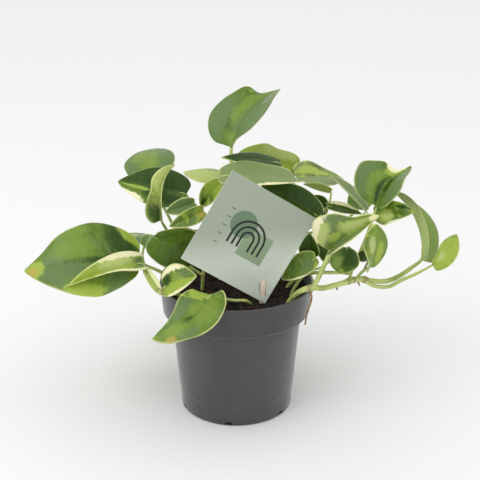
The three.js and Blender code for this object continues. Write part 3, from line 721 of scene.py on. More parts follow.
@dataclass(frozen=True)
class BackdropFinish:
    """Seamless pale studio paper."""

    name: str = "studio_paper"
    paper: tuple = srgb(244, 244, 244)

    def dress(self) -> bpy.types.Material:
        """Builds the floor's material.

        Returns:
            The material.
        """
        recipe = Recipe(self.name)
        tooth = recipe.noise(recipe.place(), 300.0, 2.0)
        shade = tuple(0.985 * channel for channel in self.paper[:3]) + (1.0,)
        recipe.surface(Base_Color=recipe.blend(tooth, shade, self.paper), Roughness=0.9)
        return recipe.material


# Leaves and stems


@dataclass(frozen=True)
class Mark:
    """One patch of colour on a blade, an ellipse in shares of the blade."""

    tone: Tone
    along: float
    across: float
    length: float
    breadth: float


def deep(*shape: float) -> Mark:
    """A dark green patch: along, across, half length, half breadth."""
    return Mark(Tone.DEEP, *shape)


def grey(*shape: float) -> Mark:
    """A grey-green patch, partly the leaf's own tone and partly painted sheen: along, across, half length,
    half breadth.
    """
    return Mark(Tone.SHEEN_GREY, *shape)


def light(*shape: float) -> Mark:
    """A light green patch: along, across, half length, half breadth."""
    return Mark(Tone.LIGHT, *shape)


def lime(*shape: float) -> Mark:
    """A lime patch: along, across, half length, half breadth."""
    return Mark(Tone.LIME, *shape)


def pale(*shape: float) -> Mark:
    """A pale yellow-green patch: along, across, half length, half breadth."""
    return Mark(Tone.PALE, *shape)


def cream(*shape: float) -> Mark:
    """A cream patch: along, across, half length, half breadth."""
    return Mark(Tone.CREAM, *shape)


def brown(*shape: float) -> Mark:
    """A yellow-brown blemish: along, across, half length, half breadth."""
    return Mark(Tone.BROWN, *shape)


@dataclass(frozen=True)
class Nudge:
    """A place on a blade that grew out of the plain shape.

    It has its place in shares, how far it moves to the right, up and forwards, in millimetres, and over what
    share of the blade's length that reaches.
    """

    along: float
    across: float
    right: float
    up: float
    length: float = 0.15
    front: float = 0.0


@dataclass(frozen=True)
class Leaf:
    """One leaf: where its blade starts and ends, how it is held, folded and marked, and its stalk's route."""

    base: Point
    tip: Point
    face: Point
    width: float
    fold: float
    rim: float
    arch: float
    stalk: tuple[Point, ...]
    stalk_radius: float = 1.2
    side: float = 0.0
    skew: float = 0.0
    wave: float = 0.0
    lobe: float = LOBE
    nudges: tuple[Nudge, ...] = ()
    marks: tuple[Mark, ...] = ()
    marble: float = 0.35
    pallor: float = 0.0
    pale_rim: float = 0.6
    light_rib: float = 0.3


@dataclass(frozen=True)
class Stem:
    """A stem's route, its first and last radius, and its skin."""

    route: tuple[Point, ...]
    radius: float
    end_radius: float
    skin: Skin = Skin.GREEN


@dataclass(frozen=True)
class VinePlan:
    """One leafy stem of the part: its node's name, its stems and its leaves."""

    node: str
    stems: tuple[Stem, ...]
    leaves: tuple[Leaf, ...]


def unit(vectors: np.ndarray) -> np.ndarray:
    """Rows made one long."""
    return vectors / np.linalg.norm(vectors, axis=-1, keepdims=True)


def midrib(leaf: Leaf, share: np.ndarray) -> tuple[np.ndarray, np.ndarray, np.ndarray]:
    """The midrib's frame at shares of the blade's length.

    Args:
        leaf: The leaf.
        share: Shares of the length, 0 at the base.

    Returns:
        The points, the upper side's normals and the sideways directions, in millimetres.
    """
    base = np.array(leaf.base, float)
    chord = np.array(leaf.tip, float) - base
    length = np.linalg.norm(chord)
    along = chord / length
    face = np.array(leaf.face, float)
    face = unit(face - face.dot(along) * along)
    across = np.cross(along, face)
    held = np.clip(share, 0.0, 1.0)[:, None]
    bow = 4.0 * held * (1.0 - held)
    points = (base + along * length * share[:, None] + face * length * leaf.arch * bow
              + across * length * leaf.side * bow)
    slope = 4.0 - 8.0 * held
    tangent = unit(along + face * leaf.arch * slope + across * leaf.side * slope)
    normal = unit(face - (tangent @ face)[:, None] * tangent)
    return points, normal, np.cross(tangent, normal)


def margin_width(share: np.ndarray) -> np.ndarray:
    """Half the blade's width along its margin, 1 at the widest place."""
    total = WIDTH_RISE + WIDTH_FALL
    widest = (WIDTH_RISE / total) ** WIDTH_RISE * (WIDTH_FALL / total) ** WIDTH_FALL
    return share ** WIDTH_RISE * (1.0 - share) ** WIDTH_FALL / widest


def blade_points(leaf: Leaf, share: np.ndarray, across: np.ndarray) -> np.ndarray:
    """Places on the blade's middle surface.

    Args:
        leaf: The leaf.
        share: How far each place is from base to tip, 0 to 1.
        across: How far each place is between the margins, -1 to 1.

    Returns:
        The places in millimetres.
    """
    reach = np.abs(across)
    hand = np.sign(across)
    bulge = np.exp(-(((share - LOBE_PLACE) / LOBE_SPREAD) ** 2))
    outer = share - leaf.lobe * bulge * np.minimum(1.0, share / LOBE_START)
    rib = share ** RIB_LAG
    points, normal, sideways = midrib(leaf, rib + (outer - rib) * reach ** RIB_BEND)
    half = leaf.width / 2 * margin_width(share) * (1.0 + leaf.skew * hand)
    fold = math.radians(leaf.fold)
    curl = math.radians(leaf.rim - leaf.fold)
    outward = (np.sin(fold + curl * reach) - math.sin(fold)) / curl
    upward = (math.cos(fold) - np.cos(fold + curl * reach)) / curl
    turns = 2.0 * math.pi * RIPPLE_COUNT * share + np.where(hand > 0, RIPPLE_LAG, 0.0)
    ripple = (leaf.wave * leaf.width * reach ** 2 * np.sin(turns)
              * np.minimum(1.0, RIPPLE_RISE * share) * (1.0 - share))
    points = points + sideways * (hand * outward * half)[:, None] + normal * (upward * half + ripple)[:, None]
    ends = np.clip(share / NUDGE_START, 0, 1) * np.clip((1 - share) / NUDGE_END, 0, 1)
    for nudge in leaf.nudges:
        near = ends * np.exp(-(((share - nudge.along) / nudge.length) ** 2))
        near = near * np.clip(1 - np.abs(across - nudge.across), 0, 1)
        points = points + near[:, None] * np.array((nudge.right, -nudge.front, nudge.up))
    return points


@dataclass
class BladeMaker:
    """Models one flat blank and bends a copy of it into each blade."""

    rows: int = 40
    columns: int = 14
    thickness: float = 0.5
    groove: float = 0.32
    groove_width: float = 0.9
    ridge: float = 0.55
    ridge_width: float = 0.8
    rib_count: float = 8.0
    rib_relief: float = 0.1
    buckle: float = 0.5
    buckle_size: float = 16.0
    full_relief_width: float = 40.0
    tone_limit: float = 1.2
    light_rib_width: float = 0.7
    side_rib_share: float = 0.12
    blank: bpy.types.Object = None

    def make_blank(self, finishes: Sequence[bpy.types.Material]) -> None:
        """Models the flat blank: a grid whose two ends are drawn together to the base and the tip.

        Args:
            finishes: The materials of the leafy stems, in slot order.
        """
        deselect_all()
        bpy.ops.mesh.primitive_grid_add(x_subdivisions=self.rows, y_subdivisions=self.columns, size=1.0)
        self.blank = bpy.context.object
        for end in (-0.5, 0.5):
            bpy.ops.object.mode_set(mode="EDIT")
            bpy.ops.mesh.select_all(action="DESELECT")
            bpy.ops.object.mode_set(mode="OBJECT")
            for vertex in self.blank.data.vertices:
                vertex.select = abs(vertex.co.x - end) < 1e-4
            bpy.ops.object.mode_set(mode="EDIT")
            bpy.ops.mesh.merge(type="CENTER")
            bpy.ops.object.mode_set(mode="OBJECT")
        for finish in finishes:
            self.blank.data.materials.append(finish)

    def copy_blank(self, name: str) -> bpy.types.Object:
        """A new object with its own copy of the blank."""
        return new_piece(name, self.blank.data.copy())

    def make(self, leaf: Leaf, number: int) -> bpy.types.Object:
        """Models one blade.

        Args:
            leaf: The leaf.
            number: The leaf's number, which seeds its buckles and its marbling.

        Returns:
            The blade's object, with its tones stored at its points.
        """
        piece = self.copy_blank(f"blade_{number}")
        flat = points_of(piece)
        share = np.clip(flat[:, 0] + 0.5, 0.0, 1.0) ** ROW_CROWDING
        across = -2.0 * flat[:, 1]
        set_points(piece, blade_points(leaf, share, across) * MM)
        apply_modifier(piece, "SOLIDIFY", thickness=self.thickness * MM, offset=0.0,
                       material_offset=1, material_offset_rim=0)
        apply_modifier(piece, "SUBSURF", levels=1, render_levels=1)
        share, across = self.read_place(piece)
        self.relieve(piece, leaf, number, share, across)
        self.colour(piece, leaf, number, share, across)
        return piece

    def read_place(self, piece: bpy.types.Object) -> tuple[np.ndarray, np.ndarray]:
        """Where each point of a finished blade lies, from its UV map.

        Args:
            piece: The blade.

        Returns:
            Shares from base to tip and from margin to margin.
        """
        mesh = piece.data
        corners = np.zeros(len(mesh.loops), int)
        mesh.loops.foreach_get("vertex_index", corners)
        flat = np.zeros(len(mesh.loops) * 2)
        mesh.uv_layers[0].data.foreach_get("uv", flat)
        flat = flat.reshape(-1, 2)
        total = np.zeros((len(mesh.vertices), 2))
        count = np.zeros(len(mesh.vertices))
        np.add.at(total, corners, flat)
        np.add.at(count, corners, 1.0)
        mean = total / count[:, None]
        return np.clip(mean[:, 0], 0.0, 1.0) ** ROW_CROWDING, 1.0 - 2.0 * mean[:, 1]

    def relieve(self, piece: bpy.types.Object, leaf: Leaf, number: int, share: np.ndarray,
                across: np.ndarray) -> None:
        """Sinks the midrib above, raises it below, swells the blade between its side ribs and buckles it.

        Args:
            piece: The blade.
            leaf: The leaf.
            number: The leaf's number.
            share: Each point's share from base to tip.
            across: Each point's share from margin to margin.
        """
        mesh = piece.data
        normals = np.zeros(len(mesh.vertices) * 3)
        mesh.vertices.foreach_get("normal", normals)
        normals = normals.reshape(-1, 3)
        under = self.underside(piece)
        reach = np.abs(across)
        away = reach * leaf.width / 2 * margin_width(share)
        fade = np.clip((1.0 - share) * 1.6, 0.0, 1.0) ** 0.7
        groove = -self.groove * np.exp(-((away / self.groove_width) ** 2)) * fade
        ridge = self.ridge * np.exp(-((away / self.ridge_width) ** 2)) * fade
        between = np.cos(2.0 * math.pi * self.rib_phase(number, share, across))
        relief = min(1.0, leaf.width / self.full_relief_width)
        quilt = self.rib_relief * between * np.sin(math.pi * np.clip(reach, 0, 1)) * relief
        lift = np.where(under, ridge - quilt, groove + quilt)
        places = points_of(piece)
        shift = Vector((7.3 * number, 3.1 * number, 0.0))
        middle = np.where(under, -1.0, 1.0)
        size = self.buckle_size * MM
        buckles = np.array([noise.noise(Vector(place) / size + shift) for place in places])
        lift = lift + middle * buckles * self.buckle * reach * relief
        set_points(piece, places + normals * (lift * MM)[:, None])

    def rib_phase(self, number: int, share: np.ndarray, across: np.ndarray) -> np.ndarray:
        """How many side ribs lie between the base and each point; each leaf has its own count and lag."""
        draws = np.random.default_rng(number)
        count = self.rib_count * draws.uniform(0.8, 1.25)
        drift = 0.2 * np.sin(5.0 * share + draws.uniform(0.0, 6.0))
        return count * share ** 0.8 + drift + np.where(across > 0, draws.uniform(0.2, 0.8), 0.0)

    def underside(self, piece: bpy.types.Object) -> np.ndarray:
        """Which of a blade's points lie on its lower face alone."""
        mesh = piece.data
        below = np.zeros(len(mesh.vertices), bool)
        above = np.zeros(len(mesh.vertices), bool)
        for face in mesh.polygons:
            for vertex in face.vertices:
                if face.material_index == 1:
                    below[vertex] = True
                else:
                    above[vertex] = True
        return below & ~above

    def colour(self, piece: bpy.types.Object, leaf: Leaf, number: int, share: np.ndarray,
               across: np.ndarray) -> None:
        """Stores the blade's tones, veins and own coordinates at its points.

        Args:
            piece: The blade.
            leaf: The leaf.
            number: The leaf's number, which moves the marbling's pattern.
            share: Each point's share from base to tip.
            across: Each point's share from margin to margin.
        """
        reach = np.abs(across)
        for tone in Tone:
            level = np.full(len(share), -self.tone_limit)
            for mark in leaf.marks:
                if mark.tone is tone:
                    spot = np.hypot((share - mark.along) / mark.length, (across - mark.across) / mark.breadth)
                    level = np.maximum(level, 1.0 - spot)
            keep_values(piece, tone.value, np.clip(level, -self.tone_limit, self.tone_limit))
        length = math.dist(leaf.base, leaf.tip)
        half = leaf.width / 2 * margin_width(share)
        rib = np.exp(-((reach * half / self.light_rib_width) ** 2))
        rib = rib * np.clip(1.15 - share, 0, 1) * leaf.light_rib
        ribs = np.cos(2.0 * math.pi * (self.rib_phase(number, share, across) + 0.5))
        side_ribs = np.clip((ribs - 0.8) / 0.2, 0.0, 1.0) * self.side_rib_share * (1.0 - 0.6 * reach)
        keep_values(piece, "vein", np.maximum(rib, side_ribs))
        keep_values(piece, "edge", np.clip(1.6 - (1.0 - reach) * half / leaf.pale_rim, 0.0, 1.0))
        keep_values(piece, "marble", np.full(len(share), leaf.marble))
        keep_values(piece, "pallor", np.full(len(share), leaf.pallor))
        apart = np.full(len(share), PATTERN_STEP * number)
        place = np.stack([share * length, across * leaf.width / 2, apart], 1)
        store = piece.data.attributes.new("blade_place", "FLOAT_VECTOR", "POINT")
        store.data.foreach_set("vector", place.astype(np.float32).ravel())


@dataclass
class StalkMaker:
    """Models stems and petioles as tapered tubes on smooth routes."""

    step: float = 2.2
    finishes: Sequence[bpy.types.Material] = ()
    sides_step: int = 3
    swelling: float = 0.28
    swelling_length: float = 2.2
    streak_reach: float = 1.4
    streak_slant: float = 0.35

    def smooth_route(self, route: Sequence[Point]) -> np.ndarray:
        """Points a few millimetres apart on the part's own smooth curve through a route.

        Args:
            route: The given points.

        Returns:
            The points, one row each, in millimetres.
        """
        knots = [Vector(point) for point in route]
        if len(knots) == 2:
            count = max(2, round((knots[1] - knots[0]).length / self.step))
            return np.array([knots[0].lerp(knots[1], step / count) for step in range(count + 1)])
        ends = [2 * knots[0] - knots[1], *knots, 2 * knots[-1] - knots[-2]]
        points = [knots[0]]
        for leg in range(len(knots) - 1):
            before, start, end, after = ends[leg:leg + 4]
            first = max((start - before).length ** 0.5, 1e-3)
            middle = max((end - start).length ** 0.5, 1e-3)
            last = max((after - end).length ** 0.5, 1e-3)
            leave = ((start - before) / first - (end - before) / (first + middle)
                     + (end - start) / middle) * middle
            arrive = ((end - start) / middle - (after - start) / (middle + last)
                      + (after - end) / last) * middle
            count = max(2, round((end - start).length / self.step))
            for step in range(1, count + 1):
                t = step / count
                points.append((2 * t ** 3 - 3 * t ** 2 + 1) * start + (t ** 3 - 2 * t ** 2 + t) * leave
                              + (3 * t ** 2 - 2 * t ** 3) * end + (t ** 3 - t ** 2) * arrive)
        return np.array(points)

    def make(self, name: str, points: np.ndarray, radii: np.ndarray, scars: np.ndarray, number: int,
             slot: int) -> bpy.types.Object:
        """Models one tube.

        Args:
            name: The object's name.
            points: Its centre line, in millimetres.
            radii: Its radius at each point, in millimetres.
            scars: How brown it is at each point, 0 to 1.
            number: A number that moves its streaks.
            slot: The material slot that its faces take.

        Returns:
            The tube's object.
        """
        deselect_all()
        bpy.ops.curve.primitive_bezier_curve_add()
        curve = bpy.context.object
        curve.name = name
        data = curve.data
        data.splines.clear()
        spline = data.splines.new("POLY")
        spline.points.add(len(points) - 1)
        for knot, place, radius in zip(spline.points, points, radii):
            knot.co = (*(place * MM), 1.0)
            knot.radius = radius
        data.bevel_depth = MM
        data.bevel_resolution = self.sides_step
        data.use_fill_caps = True
        curve.location = (0.0, 0.0, 0.0)
        bpy.ops.object.convert(target="MESH")
        tube = bpy.context.object
        close_up(tube, 0.001)
        for finish in self.finishes:
            tube.data.materials.append(finish)
        for face in tube.data.polygons:
            face.material_index = slot
        self.measure(tube, points, scars, number)
        return tube

    def measure(self, tube: bpy.types.Object, points: np.ndarray, scars: np.ndarray, number: int) -> None:
        """Stores each point's place along and round the tube, and how scarred it is.

        Args:
            tube: The tube.
            points: Its centre line, in millimetres.
            scars: How brown it is at each point, 0 to 1.
            number: A number that moves its streaks.
        """
        places = points_of(tube) / MM
        run = np.concatenate([[0.0], np.cumsum(np.linalg.norm(np.diff(points, axis=0), axis=1))])
        nearest = np.argmin(np.linalg.norm(places[:, None] - points[None], axis=2), axis=1)
        off = places - points[nearest]
        slant = self.streak_slant * off[:, 2]
        turn = np.arctan2(off[:, 1] + slant, off[:, 0] - slant)
        away = np.stack([run[nearest], self.streak_reach * np.cos(turn),
                         self.streak_reach * np.sin(turn) + PATTERN_STEP * number], 1)
        store = tube.data.attributes.new("blade_place", "FLOAT_VECTOR", "POINT")
        store.data.foreach_set("vector", away.astype(np.float32).ravel())
        keep_values(tube, "scar", scars[nearest])


@dataclass
class LeafyStem:
    """One leafy stem of the part, modelled finely and joined into one piece."""

    plan: VinePlan
    first_number: int
    blades: BladeMaker
    stalks: StalkMaker
    tip_radius: float = 0.32
    joint_reach: float = 4.0
    scar_share: float = 0.7
    scar_length: float = 1.1
    stem_number: int = 50

    def build(self) -> bpy.types.Object:
        """Models the stem with all its leaves.

        Returns:
            The joined piece.
        """
        parts = []
        for index, leaf in enumerate(self.plan.leaves):
            number = self.first_number + index
            parts.append(self.blades.make(leaf, number))
            parts.append(self.petiole(leaf, number))
        for index, stem in enumerate(self.plan.stems):
            parts.append(self.stem(stem, self.first_number + index))
        piece = join(parts, f"{self.plan.node}_leafy")
        take(piece)
        bpy.ops.object.shade_smooth()
        hand_over(piece, "leaf", self.plan.node)
        return piece

    def petiole(self, leaf: Leaf, number: int) -> bpy.types.Object:
        """Models a leaf's stalk, which runs into the underside of its midrib.

        Args:
            leaf: The leaf.
            number: The leaf's number.

        Returns:
            The stalk.
        """
        ribs, normal, _ = midrib(leaf, np.array(STALK_SINK))
        sunk = ribs - normal * STALK_DROP
        points = self.stalks.smooth_route([*leaf.stalk, *map(tuple, sunk)])
        share = np.linspace(0.0, 1.0, len(points))
        radii = leaf.stalk_radius + (self.tip_radius - leaf.stalk_radius) * share ** 4
        return self.stalks.make(f"petiole_{number}", points, radii, np.zeros(len(points)), number, 2)

    def stem(self, stem: Stem, number: int) -> bpy.types.Object:
        """Models a stem, swollen and scarred where stalks leave it.

        Args:
            stem: The stem.
            number: A number that moves its streaks.

        Returns:
            The stem.
        """
        points = self.stalks.smooth_route(stem.route)
        share = np.linspace(0.0, 1.0, len(points))
        radii = stem.radius + (stem.end_radius - stem.radius) * share
        scars = np.zeros(len(points))
        slot = 3 if stem.skin is Skin.ROOT else 2
        if stem.skin is Skin.GREEN:
            for leaf in self.plan.leaves:
                gap = np.linalg.norm(points - np.array(leaf.stalk[0]), axis=1)
                if gap.min() < self.joint_reach:
                    joint = points[gap.argmin()]
                    near = np.linalg.norm(points - joint, axis=1)
                    swelling = self.stalks.swelling * np.exp(-((near / self.stalks.swelling_length) ** 2))
                    radii = radii * (1.0 + swelling)
                    scars = np.maximum(scars, self.scar_share * np.exp(-((near / self.scar_length) ** 2)))
        return self.stalks.make(f"stem_{number}", points, radii, scars, number + self.stem_number, slot)


def vine_plans() -> tuple[VinePlan, ...]:
    """The fourteen leafy stems, with the same routes as the part's and each blade's marks.

    Returns:
        The plans, front and sides first.
    """
    # The grey marks on the blades are partly painted sheen.
    return (
        # Reaches over the left of the rim with the largest leaf
        VinePlan("vine_left", stems=(
            Stem(((-38, -20, 74), (-39, -22, 96), (-48, -32, 108), (-57, -33, 109), (-63, -25, 112),
                  (-68, -19, 118), (-72, -12, 123)), 2, 1.5),
            Stem(((-42, 2, 74), (-44, 2, 98), (-53, -3, 109), (-62, -6, 116), (-72, -12, 122.5)), 1.5, 1.3),
        ), leaves=(
            Leaf((-57, -33.5, 107.5), (-73, -12.5, 124.5), (0.15, -0.8, 0.55), 9, 32, 24, 0.01, lobe=0,
                 stalk=((-54, -33, 108.5),), marble=0.4, pallor=0.3, pale_rim=0.8, light_rib=0,
                 marks=(lime(0.5, 0.0, 0.8, 1.4), cream(0.5, 0.7, 0.5, 0.4))),
            Leaf((-74, -8, 124), (-161, -24, 122), (0.1, -0.67, 0.74), 64, 8, 0, 0.09, wave=0.02,
                 stalk=((-68, -18, 118), (-71, -12, 122)), stalk_radius=1.5, marble=0.12, light_rib=0.1,
                 pale_rim=0.5,
                 nudges=(Nudge(0.08, -1, -7, 2.4, 0.1), Nudge(0.22, -1, -1.5, 3, 0.12),
                         Nudge(0.87, 1, 1.2, -2.2, 0.12), Nudge(0.08, 1, -2.4, 0, 0.1)),
                 marks=(deep(0.2, 0.5, 0.13, 0.54), lime(0.1, 0.88, 0.09, 0.26),
                        light(0.62, 0.46, 0.16, 0.36), light(0.56, 0.86, 0.14, 0.16),
                        grey(0.78, 0.3, 0.12, 0.36), deep(0.6, 0.03, 0.3, 0.09), grey(0.7, -0.42, 0.2, 0.5),
                        lime(0.5, -0.92, 0.17, 0.28), light(0.5, -0.62, 0.14, 0.2),
                        grey(0.25, -0.75, 0.14, 0.42), brown(0.93, -0.4, 0.035, 0.5),
                        lime(0.92, -0.1, 0.07, 0.9))),
            Leaf((-72, -15, 125), (-126, -40, 116), (0.1, -0.5, 0.86), 26, 48, 43, 0.07,
                 stalk=((-66, -22, 115), (-70, -16, 122)), stalk_radius=1.3, marble=0.55, pale_rim=1.3,
                 nudges=(Nudge(0.6, 1, 0.8, -2.4, 0.35), Nudge(0.12, -1, 0, -4.7, 0.2)),
                 marks=(cream(0.28, 0.92, 0.26, 0.34), cream(0.3, -0.98, 0.34, 0.34),
                        lime(0.8, 0.0, 0.3, 1.1), grey(0.14, 0.05, 0.13, 0.5), lime(0.45, 0.1, 0.3, 0.85),
                        pale(0.4, 0.4, 0.2, 0.4))),
            Leaf((-54, -29, 111), (-29, -33, 122), (-0.47, -0.54, 0.7), 29, 19, 11, 0.09,
                 stalk=((-58, -32, 109), (-56, -30, 110)), pale_rim=1.5, marble=0.45,
                 marks=(lime(0.5, 0.45, 0.5, 0.5), deep(0.22, -0.3, 0.14, 0.32),
                        cream(0.35, -0.95, 0.35, 0.34), cream(0.6, 0.98, 0.4, 0.2),
                        light(0.5, -0.2, 0.14, 0.3))),
            Leaf((-71, -8, 136), (-64, -11, 147), (-0.7, -0.5, 0.4), 11, 15, 5, 0.1,
                 stalk=((-70, -13, 121), (-72, -9, 129)), stalk_radius=1, marks=(grey(0.5, 0.0, 0.5, 1.0),)),
        )),
        # Leans over the front of the rim
        VinePlan("vine_front", stems=(
            Stem(((13, -26, 74), (12, -27, 94), (8, -31, 100.5), (-2, -33, 102), (-11, -37, 105),
                  (-15, -41, 108)), 1.3, 1.2),
        ), leaves=(
            Leaf((-19, -46, 112), (-61, -77, 91), (0, -0.7, 0.7), 36, 12, 0, 0.16, lobe=0.12, wave=0.02,
                 side=-0.12, stalk=((-11, -37, 105), (-16, -42, 110)), marble=0.3, pale_rim=0.9,
                 nudges=(Nudge(0.65, 1, 2.8, -4.7, 0.28), Nudge(0.05, 1, -2.7, -4.7, 0.06),
                         Nudge(0.03, -1, -1.6, 4, 0.05), Nudge(0.85, -1, 0, -1.6, 0.12)),
                 marks=(lime(0.15, 0.5, 0.13, 0.4), lime(0.08, 0.15, 0.08, 0.3),
                        grey(0.48, 0.58, 0.22, 0.36), light(0.32, -0.4, 0.22, 0.4),
                        light(0.4, 0.12, 0.16, 0.24), brown(0.8, -0.74, 0.05, 0.2),
                        light(0.78, -0.2, 0.14, 0.5), deep(0.5, -0.04, 0.2, 0.12),
                        grey(0.62, -0.7, 0.12, 0.2))),
        )),
        # The three leaves at the upper left, behind the card
        VinePlan("vine_left_back", stems=(
            Stem(((-34, 18, 74), (-36, 17, 96), (-42, 15, 120), (-46, 16, 136)), 1.8, 1.4),
        ), leaves=(
            Leaf((-71, 50, 173), (-70, 98, 185), (-0.16, -0.22, 0.96), 43, 6, -5, 0.11, wave=0.02,
                 stalk=((-45, 16, 132), (-54, 28, 148), (-66, 42, 165)), marble=0.2, pale_rim=0.4,
                 light_rib=0.6,
                 marks=(light(0.38, 0.0, 0.4, 0.36), light(0.6, -0.5, 0.2, 0.3), grey(0.4, -0.7, 0.36, 0.4),
                        grey(0.5, 0.65, 0.4, 0.4))),
            Leaf((-39, 23, 168), (-94, 31, 176), (0.03, -0.57, 0.82), 40, 8, 2, 0.03, wave=0.015,
                 stalk=((-45, 16, 132), (-42, 19, 148), (-37, 22, 163)), pale_rim=0.3, marble=0.05,
                 nudges=(Nudge(0.08, -1, 0, 3.0, 0.08),),
                 marks=(deep(0.42, 0.55, 0.7, 0.8), lime(0.76, -0.24, 0.2, 0.13),
                        cream(0.72, -0.98, 0.16, 0.26), deep(0.5, -0.3, 0.2, 0.3),
                        deep(0.25, -0.5, 0.16, 0.3), lime(0.08, -0.75, 0.06, 0.3))),
            Leaf((-58, 4, 153), (-48, 35, 189), (-0.34, -0.67, 0.66), 24, 62, 54, 0.15, side=-0.05,
                 stalk=((-44, 15, 128), (-51, 10, 138), (-56, 6, 148)), marble=0.3, pallor=0.05,
                 pale_rim=1.0,
                 nudges=(Nudge(0.13, -1, -3.5, -0.8, 0.1), Nudge(0.4, -1, 2.3, 0, 0.1)),
                 marks=(lime(0.7, 0.0, 0.34, 1.3), pale(0.68, 0.1, 0.36, 1.3), deep(0.16, -0.3, 0.14, 0.5),
                        grey(0.84, -0.6, 0.16, 0.4))),
        )),
        # Low leaf behind the card's left corner and two small ones above it
        VinePlan("vine_left_middle", stems=(
            Stem(((-27, -2, 74), (-27, 0, 96), (-25, 4, 120), (-24, 5, 142)), 1.5, 1.2),
        ), leaves=(
            Leaf((-63, -14, 146), (-18, 15, 120), (0.41, -0.86, -0.3), 39, 18, 6, 0.04,
                 stalk=((-26, 2, 108), (-44, 4, 120), (-57, -4, 138)), marble=0.0,
                 nudges=(Nudge(0.07, -1, 0, -3.5, 0.12),)),
            Leaf((-32, 4, 167), (-55, 1, 160), (0.12, -0.9, 0.4), 14, 30, 22, 0.07,
                 stalk=((-24, 5, 140), (-27, 5, 156)), stalk_radius=1, marks=(grey(0.5, 0.0, 0.6, 1.2),)),
            Leaf((-25, -3, 163), (-51, -11, 153), (0.2, -0.9, 0.3), 15, 30, 22, 0.1,
                 stalk=((-24, 5, 138), (-23, 1, 154)), stalk_radius=1, marble=0.4,
                 marks=(lime(0.1, 0.0, 0.2, 0.8), brown(0.15, -0.3, 0.12, 0.4))),
        )),
        # Behind the card's upper left edge
        VinePlan("vine_card_left", stems=(
            Stem(((-12, 20, 74), (-13, 21, 96), (-12, 22, 130), (-11, 21, 152)), 1.5, 1.2),
        ), leaves=(
            Leaf((-9, 31, 178), (-43, 47, 179), (0, -0.11, 0.99), 30, 4, -14, 0.05,
                 stalk=((-11, 21, 150), (-9, 26, 168)), pale_rim=1.2, marble=0.4, pallor=0.3,
                 marks=(lime(0.6, -0.3, 0.5, 0.8),)),
            Leaf((-11, 8, 183), (-28, 18, 159), (-0.52, -0.85, 0.1), 19, 40, 34, 0.02,
                 stalk=((-11, 21, 148), (-9, 13, 170)), stalk_radius=1, marble=0.55, pale_rim=0.9,
                 marks=(lime(0.3, 0.3, 0.3, 0.6), deep(0.85, 0.2, 0.12, 0.5))),
        )),
        # The tallest leaf and the two below it at the back
        VinePlan("vine_top", stems=(
            Stem(((4, 28, 74), (3, 28, 96), (1, 28, 130), (-2, 28, 165)), 2, 1.5),
        ), leaves=(
            Leaf((-4, 26, 205), (35, 55, 245), (-0.44, -0.45, 0.78), 56, 38, 26, 0.06,
                 stalk=((-2, 28, 160), (-3, 28, 185)), stalk_radius=1.8, light_rib=0.5, marble=0.15,
                 pale_rim=0.4,
                 nudges=(Nudge(0.5, 0, -4.8, 4.1, 0.35), Nudge(0.2, -1, -2.8, 0, 0.15),
                         Nudge(0.7, -1, 0, 2.4, 0.09), Nudge(0.89, -1, -4.9, -5, 0.1),
                         Nudge(0.45, 1, 1, -1, 0.2), Nudge(0.08, 1, -1.6, 4.5, 0.1)),
                 marks=(light(0.6, -0.24, 0.3, 0.2), light(0.12, 0.0, 0.12, 0.25),
                        grey(0.5, 0.55, 0.6, 0.7), grey(0.32, -0.7, 0.26, 0.34),
                        deep(0.34, -0.34, 0.1, 0.14))),
            Leaf((48, 42, 184), (1, 71, 188), (-0.4, -0.7, 0.57), 32, 32, 30, 0.06,
                 stalk=((2, 28, 118), (18, 40, 134), (40, 46, 164)), marble=0.6,
                 nudges=(Nudge(0.3, 1, -1.2, -4.4, 0.16), Nudge(0.65, 1, 0, -1.6, 0.2)),
                 marks=(lime(0.4, 0.5, 0.5, 0.9), pale(0.34, 0.7, 0.26, 0.4), grey(0.6, 0.6, 0.05, 0.5),
                        grey(0.76, 0.5, 0.06, 0.4))),
            Leaf((34, 25, 193), (-12, 13, 200.5), (0.15, -0.3, 0.94), 20, 4, -8, 0.03,
                 stalk=((0, 28, 138), (18, 32, 152), (33, 31, 176)), marble=0.05,
                 marks=(deep(0.5, 0.0, 0.8, 1.6),)),
        )),
        # The long leaf over the card's top and the dark one under it
        VinePlan("vine_centre", stems=(
            Stem(((10, -4, 74), (9, -3, 96), (4, 0, 130), (-4, 0, 160)), 1.6, 1.2),
        ), leaves=(
            # Its grey mark over the whole blade is painted sheen.
            Leaf((-11, -2, 190), (52, -5, 187), (0.04, -0.35, 0.94), 34, 14, 3, 0.06, wave=0.015,
                 stalk=((-3, 0, 155), (-9, 0, 176)), pale_rim=0.8, marble=0.1, pallor=0.15,
                 nudges=(Nudge(0.5, -1, 0, -2.6, 0.25), Nudge(0.92, -1, -2.4, -2.4, 0.07)),
                 marks=(grey(0.5, 0.0, 0.8, 1.4), cream(0.72, 0.98, 0.3, 0.14),
                        light(0.25, 0.5, 0.14, 0.3))),
            Leaf((63, 4, 156), (18.5, 18, 178.5), (0, -0.5, 0.86), 26, 36, 32, 0.04,
                 stalk=((8, -2, 104), (30, 2, 118), (54, 4, 144)), stalk_radius=1.4, marble=0.1,
                 nudges=(Nudge(0.84, -1, -0.8, -3.5, 0.14),), marks=(deep(0.5, 0.2, 0.8, 1.2),)),
        )),
        # Leaves low down beside the card's right corner
        VinePlan("vine_card_right", stems=(
            Stem(((41, -13, 74), (42, -13, 96), (49, -11, 110), (56, -9, 117)), 1.5, 1.2),
        ), leaves=(
            Leaf((61, -15, 129), (35, -12, 110), (-0.49, -0.71, 0.5), 21, 22, 14, 0.05,
                 stalk=((54, -10, 115), (61, -11, 122)), pale_rim=0.9, marble=0.3,
                 marks=(cream(0.6, -0.97, 0.35, 0.14), grey(0.3, -0.2, 0.2, 0.5))),
